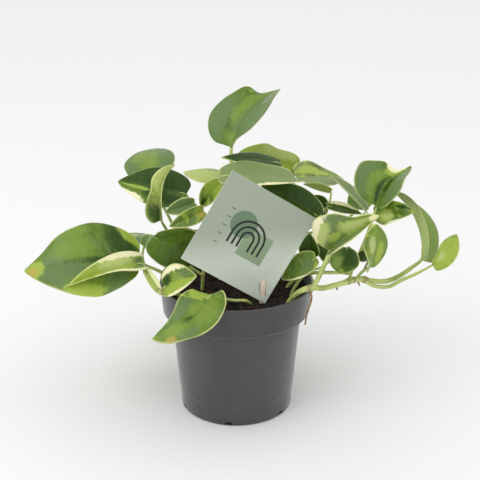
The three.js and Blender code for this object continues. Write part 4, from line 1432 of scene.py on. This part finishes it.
            Leaf((58, -4, 128), (56, -7, 147), (-0.3, -0.9, -0.2), 18, 25, 20, 0.1,
                 stalk=((52, -10, 113), (58, -5, 121)), stalk_radius=1, marble=0.1,
                 marks=(deep(0.5, 0.0, 0.8, 1.5),)),
            Leaf((72, -6, 123), (63, 2, 140), (0.06, -0.91, 0.4), 13, 20, 8, 0.08,
                 stalk=((54, -9, 116), (66, -6, 118)), stalk_radius=1, marble=0.1,
                 marks=(deep(0.5, 0.0, 0.8, 1.5),)),
        )),
        # Behind the card's right corner, spreading to the right
        VinePlan("vine_right_back", stems=(
            Stem(((32, 20, 74), (33, 20, 96), (41, 23, 118), (50, 24, 134)), 1.8, 1.4),
        ), leaves=(
            Leaf((47, 27, 181), (87, 46, 173), (0.3, -0.3, 0.9), 32, 22, 14, 0.04,
                 stalk=((41, 23, 118), (40, 26, 145), (44, 27, 170)), pale_rim=1.0, marble=0.45,
                 pallor=0.15,
                 nudges=(Nudge(0.65, -1, -0.8, -2.8, 0.25), Nudge(0.45, 1, 0, -2, 0.3)),
                 marks=(lime(0.32, -0.42, 0.3, 0.24), lime(0.5, -0.3, 0.24, 0.18),
                        grey(0.5, 0.6, 0.6, 0.55), cream(0.95, 0.5, 0.08, 0.8), deep(0.5, -0.8, 0.12, 0.25),
                        deep(0.42, -0.2, 0.05, 0.3))),
            Leaf((74, 20, 172), (52, 21, 177), (0.26, 0.6, 0.75), 16, 0, -10, 0.06,
                 stalk=((58, 22, 140), (69, 17, 152), (73, 18, 164)), stalk_radius=1,
                 marks=(lime(0.5, 0.0, 0.8, 1.5),)),
            Leaf((103, 24, 154), (73, 26, 183), (0.62, -0.2, 0.75), 22, 16, 6, 0.03,
                 stalk=((49, 24, 133), (74, 27, 138), (96, 26, 147)), pale_rim=0.9, marble=0.3, pallor=0.15,
                 marks=(grey(0.5, 0.5, 0.7, 0.8), light(0.5, -0.7, 0.5, 0.4))),
            Leaf((71, 25, 153), (56, 25, 166), (0.43, -0.75, 0.5), 16, 10, 2, 0.1,
                 stalk=((49, 24, 133), (62, 26, 143)), stalk_radius=1, marble=0.1,
                 marks=(deep(0.5, 0.0, 0.9, 1.6),)),
            Leaf((71, 14, 161), (99, 19, 153), (0.36, -0.3, 0.88), 15, 13, 0, 0.04,
                 stalk=((49, 23, 133), (60, 16, 146)), stalk_radius=1,
                 marks=(deep(0.4, 0.4, 0.6, 0.8), cream(0.5, -0.8, 0.4, 0.45))),
        )),
        # Two upright leaves high on the right
        VinePlan("vine_right_high", stems=(
            Stem(((38, 4, 74), (40, 4, 96), (52, 2, 108.5), (63, 0, 111), (76, -2, 112), (88, -5, 113)),
                 1.7, 1.4),
        ), leaves=(
            Leaf((107, 0, 165.5), (135, 17, 193), (-0.42, -0.52, 0.75), 50, 38, 32, 0.03, skew=-0.1,
                 stalk=((86, -4, 113), (95, -4, 128), (103, -2, 151)), stalk_radius=1.4, pale_rim=0.7,
                 marble=0.2, light_rib=0.4,
                 nudges=(Nudge(0.5, 0, -4.0, 4.0, 0.3), Nudge(0.45, -1, -2.4, 3.2, 0.14),
                         Nudge(0.89, -1, -3.9, -6.0, 0.1), Nudge(0.22, -1, -2.4, 0, 0.15),
                         Nudge(0.6, 1, -2.4, 1, 0.2)),
                 marks=(grey(0.35, -0.7, 0.3, 0.3), light(0.45, -0.38, 0.32, 0.16),
                        deep(0.32, -0.08, 0.28, 0.1), cream(0.87, -0.7, 0.12, 0.36),
                        cream(0.84, -0.45, 0.14, 0.3), lime(0.8, -0.3, 0.17, 0.3),
                        deep(0.5, 0.2, 0.22, 0.12), grey(0.5, 0.7, 0.4, 0.3))),
            Leaf((106, 2, 159.5), (136, -8, 164.5), (-0.3, -0.74, 0.6), 18, 12, -2, 0.05,
                 stalk=((94, -4, 126), (102, 0, 146)), marble=0.45,
                 nudges=(Nudge(0.25, 1, 0, -2.5, 0.14),),
                 marks=(lime(0.38, 0.3, 0.17, 0.5), pale(0.4, 0.3, 0.12, 0.3), light(0.2, 0.1, 0.16, 0.6),
                        deep(0.74, -0.55, 0.2, 0.16), grey(0.6, 0.95, 0.4, 0.3),
                        cream(0.6, 1.0, 0.35, 0.14))),
        )),
        # The thick runner over the right of the rim
        VinePlan("vine_right", stems=(
            Stem(((38, -24, 74), (40, -25, 96), (49, -29, 108), (57, -30, 111), (65, -27, 109.5),
                  (73, -22, 109), (82, -18, 110), (94, -14, 111.5), (104, -12, 109)), 2.4, 2),
            Stem(((55, -30, 109), (57, -32, 104), (53.5, -36, 93), (52, -38, 84)), 0.8, 0.6, Skin.ROOT),
            Stem(((77, -20, 110), (77, -20, 105)), 0.9, 0.6, Skin.ROOT),
            Stem(((93, -14, 111), (95, -14, 106)), 0.9, 0.6, Skin.ROOT),
        ), leaves=(
            Leaf((143.5, -6, 124), (124, 29, 168), (0.86, -0.15, 0.49), 50, 28, 20, 0.13, side=-0.03,
                 stalk=((100, -13, 110), (116, -10, 108), (127, -8, 112), (136, -6, 118)), stalk_radius=2,
                 marble=0.35, pale_rim=0.25,
                 marks=(light(0.5, 0.0, 0.8, 1.5), lime(0.42, -0.3, 0.36, 0.6), deep(0.55, 0.9, 0.34, 0.4))),
            Leaf((150, -14, 123), (171, 3, 142), (0.34, -0.85, 0.39), 20, 28, 20, 0.1,
                 stalk=((97, -13, 111), (106, -17, 107), (117, -18, 107), (126, -18, 112), (140, -16, 118)),
                 stalk_radius=1.5, marble=0.65,
                 nudges=(Nudge(0.15, -1, 3, 0, 0.2),),
                 marks=(lime(0.5, 0.0, 0.5, 1.0), light(0.5, 0.75, 0.34, 0.3), pale(0.34, -0.1, 0.16, 0.3),
                        light(0.75, -0.5, 0.12, 0.3))),
            Leaf((102, -14, 121), (104, -22, 160), (0.7, -0.7, -0.1), 27, 16, 2, 0.07,
                 stalk=((91, -15, 111), (97, -12, 117)), marble=0.55,
                 nudges=(Nudge(0.25, -1, 3.1, 0, 0.25), Nudge(0.74, -1, -5.5, 0, 0.26)),
                 marks=(light(0.5, 0.1, 0.5, 0.9), lime(0.4, 0.4, 0.26, 0.26), pale(0.64, -0.3, 0.16, 0.26),
                        grey(0.75, 0.7, 0.2, 0.3))),
            Leaf((69, -34, 142), (101, -57, 178), (-0.76, -0.55, 0.34), 45, 45, 38, 0.09, side=0.04,
                 stalk=((56, -30, 109), (60, -31, 116), (66, -32, 131)), stalk_radius=2, pale_rim=0.9,
                 marble=0.15, pallor=0.04,
                 nudges=(Nudge(0.3, -1, -3.9, 0.4, 0.22), Nudge(0.75, -1, 0.8, -4.4, 0.13),
                         Nudge(0.32, 1, 6.6, 12.5, 0.36, 5), Nudge(0.75, 1, 1.5, 2.5, 0.15)),
                 marks=(grey(0.45, -0.6, 0.28, 0.6), cream(0.22, -0.97, 0.22, 0.26),
                        lime(0.2, -0.64, 0.22, 0.26), pale(0.2, -0.62, 0.2, 0.3),
                        lime(0.76, -0.34, 0.26, 0.38), pale(0.76, -0.36, 0.2, 0.24),
                        cream(0.96, 0.0, 0.07, 0.8), lime(0.38, -0.24, 0.14, 0.12),
                        grey(0.4, 0.5, 0.4, 0.36), cream(0.45, 1.0, 0.5, 0.1))),
            Leaf((83, -26, 142), (79, -19, 118), (-0.14, -0.96, -0.25), 25, 26, 20, 0.02,
                 stalk=((86, -16, 110), (90, -12, 124), (86.3, -19, 138)), marble=0.2,
                 marks=(deep(0.36, -0.2, 0.4, 0.8), light(0.56, 0.45, 0.24, 0.34))),
            Leaf((101, -13, 131), (92, -10, 127), (-0.6, -0.7, 0.3), 10, 22, 14, 0.1,
                 stalk=((97, -12, 116), (101, -11, 125)), stalk_radius=0.9, marble=0.1,
                 marks=(deep(0.5, 0.0, 0.8, 1.4),)),
        )),
        # Trailing leaves at the back
        VinePlan("vine_back_left", stems=(
            Stem(((-22, 36, 74), (-23, 37, 96), (-28, 46, 110), (-36, 56, 112)), 1.8, 1.4),
        ), leaves=(
            Leaf((-38, 66, 96), (-54, 80, 42), (-0.4, 0.8, 0.5), 40, 14, 4, 0.12, wave=0.02,
                 stalk=((-33, 52, 112), (-38, 62, 106)), marble=0.35, pale_rim=1.0,
                 marks=(deep(0.4, 0.4, 0.2, 0.5), lime(0.6, -0.6, 0.2, 0.3))),
            Leaf((-70, 34, 122), (-141, 68, 94), (-0.2, 0.3, 0.95), 50, 12, 2, 0.12, wave=0.02,
                 stalk=((-28, 46, 110), (-44, 46, 120), (-62, 38, 124)), stalk_radius=1.5, marble=0.3,
                 marks=(deep(0.3, -0.5, 0.2, 0.5), lime(0.5, 0.5, 0.2, 0.3), grey(0.75, 0.0, 0.15, 0.5))),
            Leaf((-10, 58, 124), (-36, 106, 84), (-0.2, 0.5, 0.8), 48, 12, 2, 0.12, wave=0.02,
                 stalk=((-26, 42, 106), (-18, 50, 118)), stalk_radius=1.5, marble=0.35, pale_rim=0.9,
                 marks=(deep(0.45, 0.3, 0.2, 0.4), cream(0.5, -0.95, 0.25, 0.15),
                        grey(0.7, -0.2, 0.2, 0.5))),
        )),
        VinePlan("vine_back_middle", stems=(
            Stem(((4, 42, 74), (4, 43, 96), (6, 54, 109), (6, 62, 110)), 1.7, 1.4),
        ), leaves=(
            Leaf((2, 70, 96), (-14, 80, 30), (0, 1, 0.3), 42, 14, 4, 0.1, wave=0.02,
                 stalk=((6, 58, 110), (5, 67, 105)), marble=0.4,
                 marks=(lime(0.4, 0.5, 0.2, 0.3), deep(0.5, -0.4, 0.25, 0.4))),
            Leaf((-6, 54, 148), (-2, 100, 154), (0, -0.1, 1), 34, 16, 6, 0.12,
                 stalk=((5, 50, 106), (2, 48, 126)), marble=0.3, marks=(grey(0.5, 0.0, 0.4, 0.7),)),
        )),
        VinePlan("vine_back_right", stems=(
            Stem(((24, 36, 74), (25, 37, 96), (32, 46, 109), (42, 54, 112)), 1.8, 1.4),
        ), leaves=(
            Leaf((44, 64, 94), (50, 80, 34), (0.4, 0.85, 0.3), 38, 14, 4, 0.12, wave=0.02,
                 stalk=((36, 50, 111), (43, 61, 104)), marble=0.35, pale_rim=0.9,
                 marks=(deep(0.4, 0.3, 0.25, 0.5), lime(0.65, -0.4, 0.15, 0.3))),
            Leaf((20, 60, 134), (46, 112, 90), (0.2, 0.5, 0.8), 50, 12, 2, 0.12, wave=0.02,
                 stalk=((28, 42, 104), (22, 52, 122)), stalk_radius=1.5, marble=0.35,
                 marks=(deep(0.35, 0.4, 0.2, 0.4), lime(0.5, -0.6, 0.2, 0.3), grey(0.75, 0.2, 0.15, 0.5))),
            Leaf((100, 52, 146), (130, 86, 160), (-0.2, -0.1, 1), 32, 18, 8, 0.12,
                 stalk=((40, 53, 112), (64, 60, 118), (88, 56, 134)), stalk_radius=1.4, marble=0.45,
                 marks=(lime(0.5, 0.3, 0.3, 0.4),)),
        )),
    )


@dataclass
class Foliage:
    """All the leafy stems and their shared finishes."""

    # The grey tones of both blade finishes are partly painted sheen.
    upper: BladeFinish = BladeFinish(
        "leaf_upper", green=srgb(98, 128, 42), deep=srgb(40, 69, 10), grey=srgb(101, 126, 74),
        lime=srgb(160, 182, 72), cream=srgb(250, 245, 204))
    lower: BladeFinish = BladeFinish(
        "leaf_lower", green=srgb(132, 154, 84), deep=srgb(100, 124, 62), grey=srgb(136, 156, 98),
        lime=srgb(172, 192, 98), cream=srgb(240, 236, 200), light=srgb(152, 172, 92), roughness=0.5,
        vein=srgb(180, 198, 124), vein_share=0.6)
    stalk: StalkFinish = StalkFinish(
        "stalk_skin", light=srgb(192, 204, 124), dark=srgb(140, 162, 76), scar=srgb(128, 98, 58))
    root: RootFinish = RootFinish()

    def build(self) -> list[bpy.types.Object]:
        """Models every leafy stem.

        Returns:
            The pieces.
        """
        finishes = [finish.dress() for finish in (self.upper, self.lower, self.stalk, self.root)]
        blades = BladeMaker()
        blades.make_blank(finishes)
        stalks = StalkMaker(finishes=finishes)
        pieces = []
        number = 0
        for plan in vine_plans():
            pieces.append(LeafyStem(plan, number, blades, stalks).build())
            number += len(plan.leaves)
        bpy.data.objects.remove(blades.blank)
        return pieces


# Pot and soil


def lathe(name: str, outline: Sequence[tuple[float, float]], sides: int) -> bpy.types.Object:
    """Spins an outline round the pot's axis.

    Args:
        name: The object's name.
        outline: Radius and height of each point, in millimetres, from the axis back to it.
        sides: How many steps the turn has.

    Returns:
        The closed turned body.
    """
    mesh = bpy.data.meshes.new(name)
    corners = [(radius * MM, 0.0, height * MM) for radius, height in outline]
    mesh.from_pydata(corners, [(index, index + 1) for index in range(len(corners) - 1)], [])
    piece = new_piece(name, mesh)
    take(piece)
    bpy.ops.object.mode_set(mode="EDIT")
    bpy.ops.mesh.select_all(action="SELECT")
    bpy.ops.mesh.spin(steps=sides, angle=2.0 * math.pi, center=(0, 0, 0), axis=(0, 0, 1))
    bpy.ops.object.mode_set(mode="OBJECT")
    close_up(piece)
    return piece


def rounded(outline: Sequence[tuple[float, float]], radius: float,
            steps: int = 3) -> list[tuple[float, float]]:
    """Rounds the corners of an outline, apart from its two ends on the axis.

    Args:
        outline: The outline's points.
        radius: How far each corner is cut back, at most.
        steps: Points along each rounding, less one.

    Returns:
        The outline with its roundings.
    """
    points = [np.array(point, float) for point in outline]
    result = [points[0]]
    for before, corner, after in zip(points, points[1:], points[2:]):
        back, ahead = before - corner, after - corner
        cut = min(radius, 0.45 * np.linalg.norm(back), 0.45 * np.linalg.norm(ahead))
        start = corner + back / np.linalg.norm(back) * cut
        end = corner + ahead / np.linalg.norm(ahead) * cut
        for step in range(steps + 1):
            t = step / steps
            result.append((1 - t) ** 2 * start + 2 * t * (1 - t) * corner + t ** 2 * end)
    result.append(points[-1])
    return [tuple(point) for point in result]


@dataclass
class Pot:
    """The nursery pot with its collar, step ring, drain channels and holes."""

    sides: int = 144
    drain_count: int = 6
    drain_width: float = 6.0
    drain_top: float = 3.2
    drain_lip: float = 0.7
    drain_inner: float = 33.0
    drain_turn: float = 7.5
    hole_radius: float = 2.5
    drain_edge: float = 0.6
    foot_chamfer: float = 1.0
    collar_chamfer: float = 0.8
    rim_chamfer: float = 0.4
    edge: float = 0.35
    finish: PotFinish = field(default_factory=PotFinish)

    def body_radius(self, height: float) -> float:
        """The outside radius of the body at a height."""
        return BASE_RADIUS + BODY_SLOPE * height

    def outline(self) -> list[tuple[float, float]]:
        """The pot's wall, from the middle of the foot round the rim to the middle of the floor."""
        return [
            (0, 0), (BASE_RADIUS - self.foot_chamfer, 0), (BASE_RADIUS, self.foot_chamfer),
            (self.body_radius(STEP_HEIGHT) - STEP_DEPTH, STEP_HEIGHT - STEP_DEPTH),
            (self.body_radius(STEP_HEIGHT), STEP_HEIGHT),
            (BODY_TOP_RADIUS, COLLAR_FOOT), (COLLAR_FOOT_RADIUS - self.collar_chamfer, COLLAR_FOOT),
            (COLLAR_FOOT_RADIUS, COLLAR_FOOT + self.collar_chamfer),
            (RIM_RADIUS - 0.5, POT_HEIGHT - 1), (RIM_RADIUS, POT_HEIGHT - self.rim_chamfer),
            (RIM_RADIUS - self.rim_chamfer, POT_HEIGHT),
            (RIM_RADIUS - WALL - self.rim_chamfer, POT_HEIGHT),
            (COLLAR_FOOT_RADIUS - WALL, COLLAR_FOOT + WALL), (BODY_TOP_RADIUS - WALL, COLLAR_FOOT + WALL),
            (self.body_radius(FLOOR) - WALL, FLOOR), (0, FLOOR),
        ]

    def cutter(self) -> bpy.types.Object:
        """The drain channels and holes, as one body to cut with."""
        length = BASE_RADIUS - self.drain_inner + WALL
        middle = self.drain_inner + length / 2
        height = (self.drain_top + self.drain_lip) / 2
        out = self.drain_inner + self.hole_radius + 1.0
        tools = []
        for drain in range(self.drain_count):
            turn = math.radians(-90.0 - self.drain_turn + 360.0 * drain / self.drain_count)
            deselect_all()
            bpy.ops.mesh.primitive_cube_add(
                size=1.0, rotation=(0, 0, turn),
                location=(middle * math.cos(turn) * MM, middle * math.sin(turn) * MM, height * MM),
                scale=(length * MM, self.drain_width * MM, (self.drain_top - self.drain_lip) * MM))
            settle(bpy.context.object)
            apply_modifier(bpy.context.object, "BEVEL", width=self.drain_edge * MM, segments=2)
            tools.append(bpy.context.object)
            deselect_all()
            bpy.ops.mesh.primitive_cylinder_add(
                vertices=24, radius=self.hole_radius * MM, depth=4 * FLOOR * MM,
                location=(out * math.cos(turn) * MM, out * math.sin(turn) * MM, 0))
            settle(bpy.context.object)
            tools.append(bpy.context.object)
        return join(tools, "drain_cutter")

    def build(self) -> bpy.types.Object:
        """Models and dresses the pot.

        Returns:
            The pot.
        """
        piece = lathe("pot_shell", rounded(self.outline(), self.edge), self.sides)
        cutter = self.cutter()
        apply_modifier(piece, "BOOLEAN", operation="DIFFERENCE", object=cutter, solver="EXACT", use_self=True)
        bpy.data.objects.remove(cutter)
        smooth(piece, 32.0)
        dress(piece, self.finish)
        hand_over(piece, "pot", "pot")
        return piece


@dataclass
class Soil:
    """The potting mix: its bed, with bark chips and fibres lying on it."""

    level: float = 97.0
    gap: float = 0.3
    sides: int = 120
    rings: int = 44
    chip_count: int = 240
    fibre_count: int = 60
    fibre_radius: float = 0.16
    fibre_length: float = 9.0
    fibre_piece: float = 1.1
    fibre_bend: float = 1.6
    fibre_rise: float = 0.5
    seed: int = 11
    lump_size: float = 13.0
    lump_rise: float = 1.3
    crumb_size: float = 3.2
    crumb_rise: float = 0.55
    edge_gap: float = 0.3
    edge_dip: float = 1.2
    edge_width: float = 4.0
    litter_margin: float = 5.5
    litter_tilt: float = 0.45
    bed_finish: SoilFinish = field(default_factory=SoilFinish)

    def height(self, x: float, y: float) -> float:
        """The top's height at a place, in millimetres."""
        place = Vector((x, y, 0.0))
        lumps = noise.fractal(place / self.lump_size, 1.0, 2.0, 3) * self.lump_rise
        crumbs = noise.fractal(place / self.crumb_size + Vector((9, 4, 1)), 0.8, 2.0, 2) * self.crumb_rise
        return self.level + lumps + crumbs

    def build(self) -> list[bpy.types.Object]:
        """Models and dresses the bed and what lies on it.

        Returns:
            The bed, the chips and the fibres.
        """
        return [self.bed(), self.chips(), self.fibres()]

    def bed(self) -> bpy.types.Object:
        """Models the soil's body with its lumpy top."""
        inner = WALL + self.gap
        shelf = COLLAR_FOOT + WALL + self.gap
        top = (COLLAR_FOOT_RADIUS - inner - self.edge_gap
               + (self.level - COLLAR_FOOT) * (RIM_RADIUS - COLLAR_FOOT_RADIUS) / COLLAR_HEIGHT)
        foot = BASE_RADIUS + BODY_SLOPE * FLOOR - inner
        rings = [(top * ring / self.rings, self.level) for ring in range(self.rings, -1, -1)]
        outline = [(0, FLOOR + self.gap), (foot, FLOOR + self.gap), (BODY_TOP_RADIUS - inner, shelf),
                   (COLLAR_FOOT_RADIUS - inner - self.edge_gap, shelf), *rings]
        piece = lathe("soil_bed", outline, self.sides)
        places = points_of(piece) / MM
        for place in places:
            if place[2] > self.level - 0.5:
                reach = math.hypot(place[0], place[1])
                dip = self.edge_dip * max(0.0, (reach - top + self.edge_width) / self.edge_width)
                place[2] = self.height(place[0], place[1]) - dip
        set_points(piece, places * MM)
        take(piece)
        bpy.ops.object.shade_smooth()
        dress(piece, self.bed_finish)
        hand_over(piece, "soil", "soil")
        return piece

    def scatter(self, name: str, count: int, pattern: bpy.types.Object, size: tuple[float, float],
                squash: tuple[float, float], lift: float, seed: int) -> bpy.types.Object:
        """Copies a pattern over the soil, each copy turned and sized by seeded draws.

        Args:
            name: The joined object's name.
            count: How many copies.
            pattern: The object to copy, a few millimetres across.
            size: Smallest and largest scale.
            squash: Smallest and largest flatness.
            lift: How far a copy's middle lies above the soil, in millimetres.
            seed: The draws' seed.

        Returns:
            The joined copies.
        """
        draws = np.random.default_rng(seed)
        copies = []
        for _ in range(count):
            reach = (RIM_RADIUS - self.litter_margin) * math.sqrt(draws.uniform(0.0, 1.0))
            angle = draws.uniform(0.0, 2.0 * math.pi)
            x, y = reach * math.cos(angle), reach * math.sin(angle)
            scale = draws.uniform(*size)
            spin = Matrix.Rotation(draws.uniform(0, 6.28), 4, "Z")
            tilt = Matrix.Rotation(draws.uniform(-self.litter_tilt, self.litter_tilt), 4, "X")
            breadth = scale * draws.uniform(0.55, 1.0)
            form = Matrix.Diagonal((scale, breadth, scale * draws.uniform(*squash), 1.0))
            move = Matrix.Translation(Vector((x, y, self.height(x, y) + lift)) * MM)
            copy = pattern.data.copy()
            copy.transform(move @ (spin @ tilt) @ form)
            copies.append(new_piece(name, copy))
        bpy.data.objects.remove(pattern)
        return join(copies, name)

    def chips(self) -> bpy.types.Object:
        """Models the bark chips."""
        deselect_all()
        bpy.ops.mesh.primitive_ico_sphere_add(subdivisions=1, radius=MM)
        pattern = bpy.context.object
        places = points_of(pattern)
        draws = np.random.default_rng(self.seed)
        set_points(pattern, places * draws.uniform(0.7, 1.25, (len(places), 1)))
        piece = self.scatter("soil_chips", self.chip_count, pattern, size=(0.9, 2.6), squash=(0.3, 0.7),
                             lift=0.2, seed=self.seed + 1)
        dress(piece, LitterFinish("bark_chips", srgb(26, 17, 13), srgb(70, 44, 33)))
        hand_over(piece, "soil")
        return piece

    def fibres(self) -> bpy.types.Object:
        """Models the thin bent fibres."""
        deselect_all()
        bpy.ops.mesh.primitive_cylinder_add(vertices=5, radius=self.fibre_radius * MM,
                                            depth=self.fibre_length * MM, rotation=(0, math.pi / 2, 0))
        settle(bpy.context.object)
        pattern = bpy.context.object
        self.split_lengthwise(pattern)
        places = points_of(pattern)
        places[:, 1] += self.fibre_bend * MM * np.sin(places[:, 0] / (2.2 * MM))
        places[:, 2] += self.fibre_rise * MM * np.cos(places[:, 0] / (2.8 * MM))
        set_points(pattern, places)
        piece = self.scatter("soil_fibres", self.fibre_count, pattern, size=(0.6, 1.3), squash=(0.7, 1.0),
                             lift=0.5, seed=self.seed + 2)
        dress(piece, LitterFinish("soil_fibre", srgb(62, 38, 28), srgb(128, 90, 66)))
        hand_over(piece, "soil")
        return piece

    def split_lengthwise(self, pattern: bpy.types.Object) -> None:
        """Cuts a lying rod into short lengths, so that it can bend."""
        take(pattern)
        bpy.ops.object.mode_set(mode="EDIT")
        for cut in range(-3, 4):
            bpy.ops.mesh.select_all(action="SELECT")
            bpy.ops.mesh.bisect(plane_co=(cut * self.fibre_piece * MM, 0, 0), plane_no=(1, 0, 0))
        bpy.ops.object.mode_set(mode="OBJECT")


# Label


@dataclass
class Label:
    """The square card, turned on its corner, and the pick that holds it."""

    side: float = 75.0
    thickness: float = 0.7
    centre: Point = (9.7, -27.3, 149.8)
    roll: float = 32.8
    lean: float = 5.8
    yaw: float = 12.7
    slot_size: tuple[float, float] = (4.8, 11.0)
    slot_centre: tuple[float, float] = (9.6, -41.0)
    pick_width: float = 4.0
    pick_thickness: float = 1.2
    pick_above: float = 7.6
    pick_below: float = 40.0
    pick_tilt: float = 8.2
    card_edge: float = 0.12
    pick_edge: float = 0.22
    print_finish: CardFinish = field(default_factory=CardFinish)
    edge_finish: PaperEdgeFinish = field(default_factory=PaperEdgeFinish)
    wood_finish: WoodFinish = field(default_factory=WoodFinish)

    def stand(self, lean: float, middle: Vector) -> Matrix:
        """Where an upright piece goes: leaned back, turned and moved."""
        turn = Matrix.Rotation(math.radians(self.yaw), 4, "Z") @ Matrix.Rotation(math.radians(lean), 4, "X")
        return Matrix.Translation(middle * MM) @ turn

    def build(self) -> list[bpy.types.Object]:
        """Models and dresses the card and its pick.

        Returns:
            The card and the pick.
        """
        return [self.card(), self.pick()]

    def card(self) -> bpy.types.Object:
        """Models the card with its slot."""
        deselect_all()
        bpy.ops.mesh.primitive_cube_add(size=1.0, scale=(self.side * MM, self.thickness * MM, self.side * MM))
        piece = bpy.context.object
        piece.name = "label_board"
        settle(piece)
        across, up = self.slot_centre
        turn = math.radians(self.roll)
        deselect_all()
        bpy.ops.mesh.primitive_cube_add(
            size=1.0, rotation=(0, -turn, 0), scale=(self.slot_size[0] * MM, 4 * MM, self.slot_size[1] * MM),
            location=((across * math.cos(turn) - up * math.sin(turn)) * MM, 0,
                      (across * math.sin(turn) + up * math.cos(turn)) * MM))
        cutter = bpy.context.object
        settle(cutter)
        apply_modifier(piece, "BOOLEAN", operation="DIFFERENCE", object=cutter, solver="EXACT")
        bpy.data.objects.remove(cutter)
        apply_modifier(piece, "BEVEL", width=self.card_edge * MM, segments=2, limit_method="ANGLE",
                       angle_limit=math.radians(40))
        self.map_print(piece)
        take(piece)
        piece.data.transform(self.stand(-self.lean, Vector(self.centre)) @ Matrix.Rotation(turn, 4, "Y"))
        smooth(piece, 30.0)
        hand_over(piece, "card", "label_card")
        return piece

    def map_print(self, piece: bpy.types.Object) -> None:
        """Lays the print on the front, and leaves bare board on the back and the cut edges.

        Args:
            piece: The card, still flat in its own frame.
        """
        mesh = piece.data
        layer = mesh.uv_layers[0] if mesh.uv_layers else mesh.uv_layers.new(name="print")
        dress(piece, self.print_finish, self.edge_finish)
        for face in mesh.polygons:
            face.material_index = 0 if face.normal.y < -0.9 else 1
            for corner in face.loop_indices:
                place = mesh.vertices[mesh.loops[corner].vertex_index].co / MM
                layer.data[corner].uv = (place.x / self.side + 0.5, place.z / self.side + 0.5)

    def pick(self) -> bpy.types.Object:
        """Models the flat pick with its round end, worn soft at the edges."""
        half = self.pick_width / 2
        deselect_all()
        bpy.ops.mesh.primitive_cylinder_add(vertices=32, radius=half * MM, depth=self.pick_thickness * MM,
                                            rotation=(math.pi / 2, 0, 0))
        piece = bpy.context.object
        piece.name = "label_stick"
        settle(piece)
        places = points_of(piece) / MM
        for place in places:
            if place[2] < -0.01:
                place[0] = math.copysign(half, place[0]) if abs(place[0]) > 1e-3 else 0.0
                place[2] = -self.pick_below - self.pick_above + half
        places[:, 2] += self.pick_above - half
        set_points(piece, places * MM)
        close_up(piece)
        apply_modifier(piece, "BEVEL", width=self.pick_edge * MM, segments=2, limit_method="ANGLE",
                       angle_limit=math.radians(50))
        across, up = self.slot_centre
        middle = self.stand(-self.lean, Vector(self.centre)) @ Vector((across * MM, 0, up * MM))
        piece.data.transform(self.stand(self.pick_tilt, middle / MM))
        smooth(piece, 35.0)
        dress(piece, self.wood_finish)
        hand_over(piece, "pick", "label_pick")
        return piece


# Studio


@dataclass
class Studio:
    """The pale floor, the soft light and the camera at the photograph's angle."""

    camera_place: Point = (2.9, -700.0, 397.0)
    camera_pitch: float = 0.354
    focal_pixels: float = 966.0
    picture_pixels: float = 480.0
    sensor: float = 36.0
    world_light: float = 0.955
    floor_size: float = 12.0
    aim: Point = (0.0, 0.0, 0.12)
    near: float = 0.05
    far: float = 50.0

    def build(self) -> None:
        """Makes the floor, the lights, the world and the camera."""
        self.floor()
        self.world()
        self.lamp("key_light", (-0.9, -0.9, 1.6), 1.2, 7.0)
        self.lamp("left_light", (-1.2, -0.3, 0.4), 1.0, 0.8)
        self.lamp("right_light", (1.2, -0.3, 0.5), 1.0, 0.8)
        self.camera()

    def floor(self) -> None:
        """Makes the pale floor."""
        deselect_all()
        bpy.ops.mesh.primitive_circle_add(vertices=96, radius=self.floor_size / 2, fill_type="NGON")
        floor = bpy.context.object
        floor.name = "studio_floor"
        dress(floor, BackdropFinish())

    def world(self) -> None:
        """Lights the studio evenly from all round."""
        scene = bpy.context.scene
        scene.world = bpy.data.worlds.new("studio")
        scene.world.use_nodes = True
        background = scene.world.node_tree.nodes["Background"]
        background.inputs["Color"].default_value = (1.0, 1.0, 1.0, 1.0)
        background.inputs["Strength"].default_value = self.world_light
        scene.view_settings.view_transform = "Standard"
        scene.view_settings.look = "None"

    def lamp(self, name: str, place: Point, size: float, power: float) -> None:
        """Adds one soft area light that looks at the plant.

        Args:
            name: The light's name.
            place: Where it hangs, in metres.
            size: Its width, in metres.
            power: Its power, in watts.
        """
        deselect_all()
        bpy.ops.object.light_add(type="AREA", location=place)
        light = bpy.context.object
        light.name = name
        light.data.shape = "DISK"
        light.data.size = size
        light.data.energy = power
        towards = Vector(self.aim) - Vector(place)
        light.rotation_euler = towards.to_track_quat("-Z", "Y").to_euler()

    def camera(self) -> None:
        """Makes the camera and gives it to the scene."""
        deselect_all()
        bpy.ops.object.camera_add(location=Vector(self.camera_place) * MM,
                                  rotation=(math.pi / 2 - self.camera_pitch, 0.0, 0.0))
        camera = bpy.context.object
        camera.name = "photo_camera"
        camera.data.sensor_width = self.sensor
        camera.data.lens = self.sensor * self.focal_pixels / self.picture_pixels
        camera.data.clip_start = self.near
        camera.data.clip_end = self.far
        bpy.context.scene.camera = camera


def main() -> None:
    """Builds the studio and every piece in order."""
    logging.basicConfig(level=logging.INFO, format="%(name)s: %(message)s")
    Studio().build()
    pieces: list[bpy.types.Object] = [Pot().build()]
    pieces += Soil().build()
    pieces += Label().build()
    pieces += Foliage().build()
    log.info("%d pieces made", len(pieces))


if __name__ == "__main__":
    main()
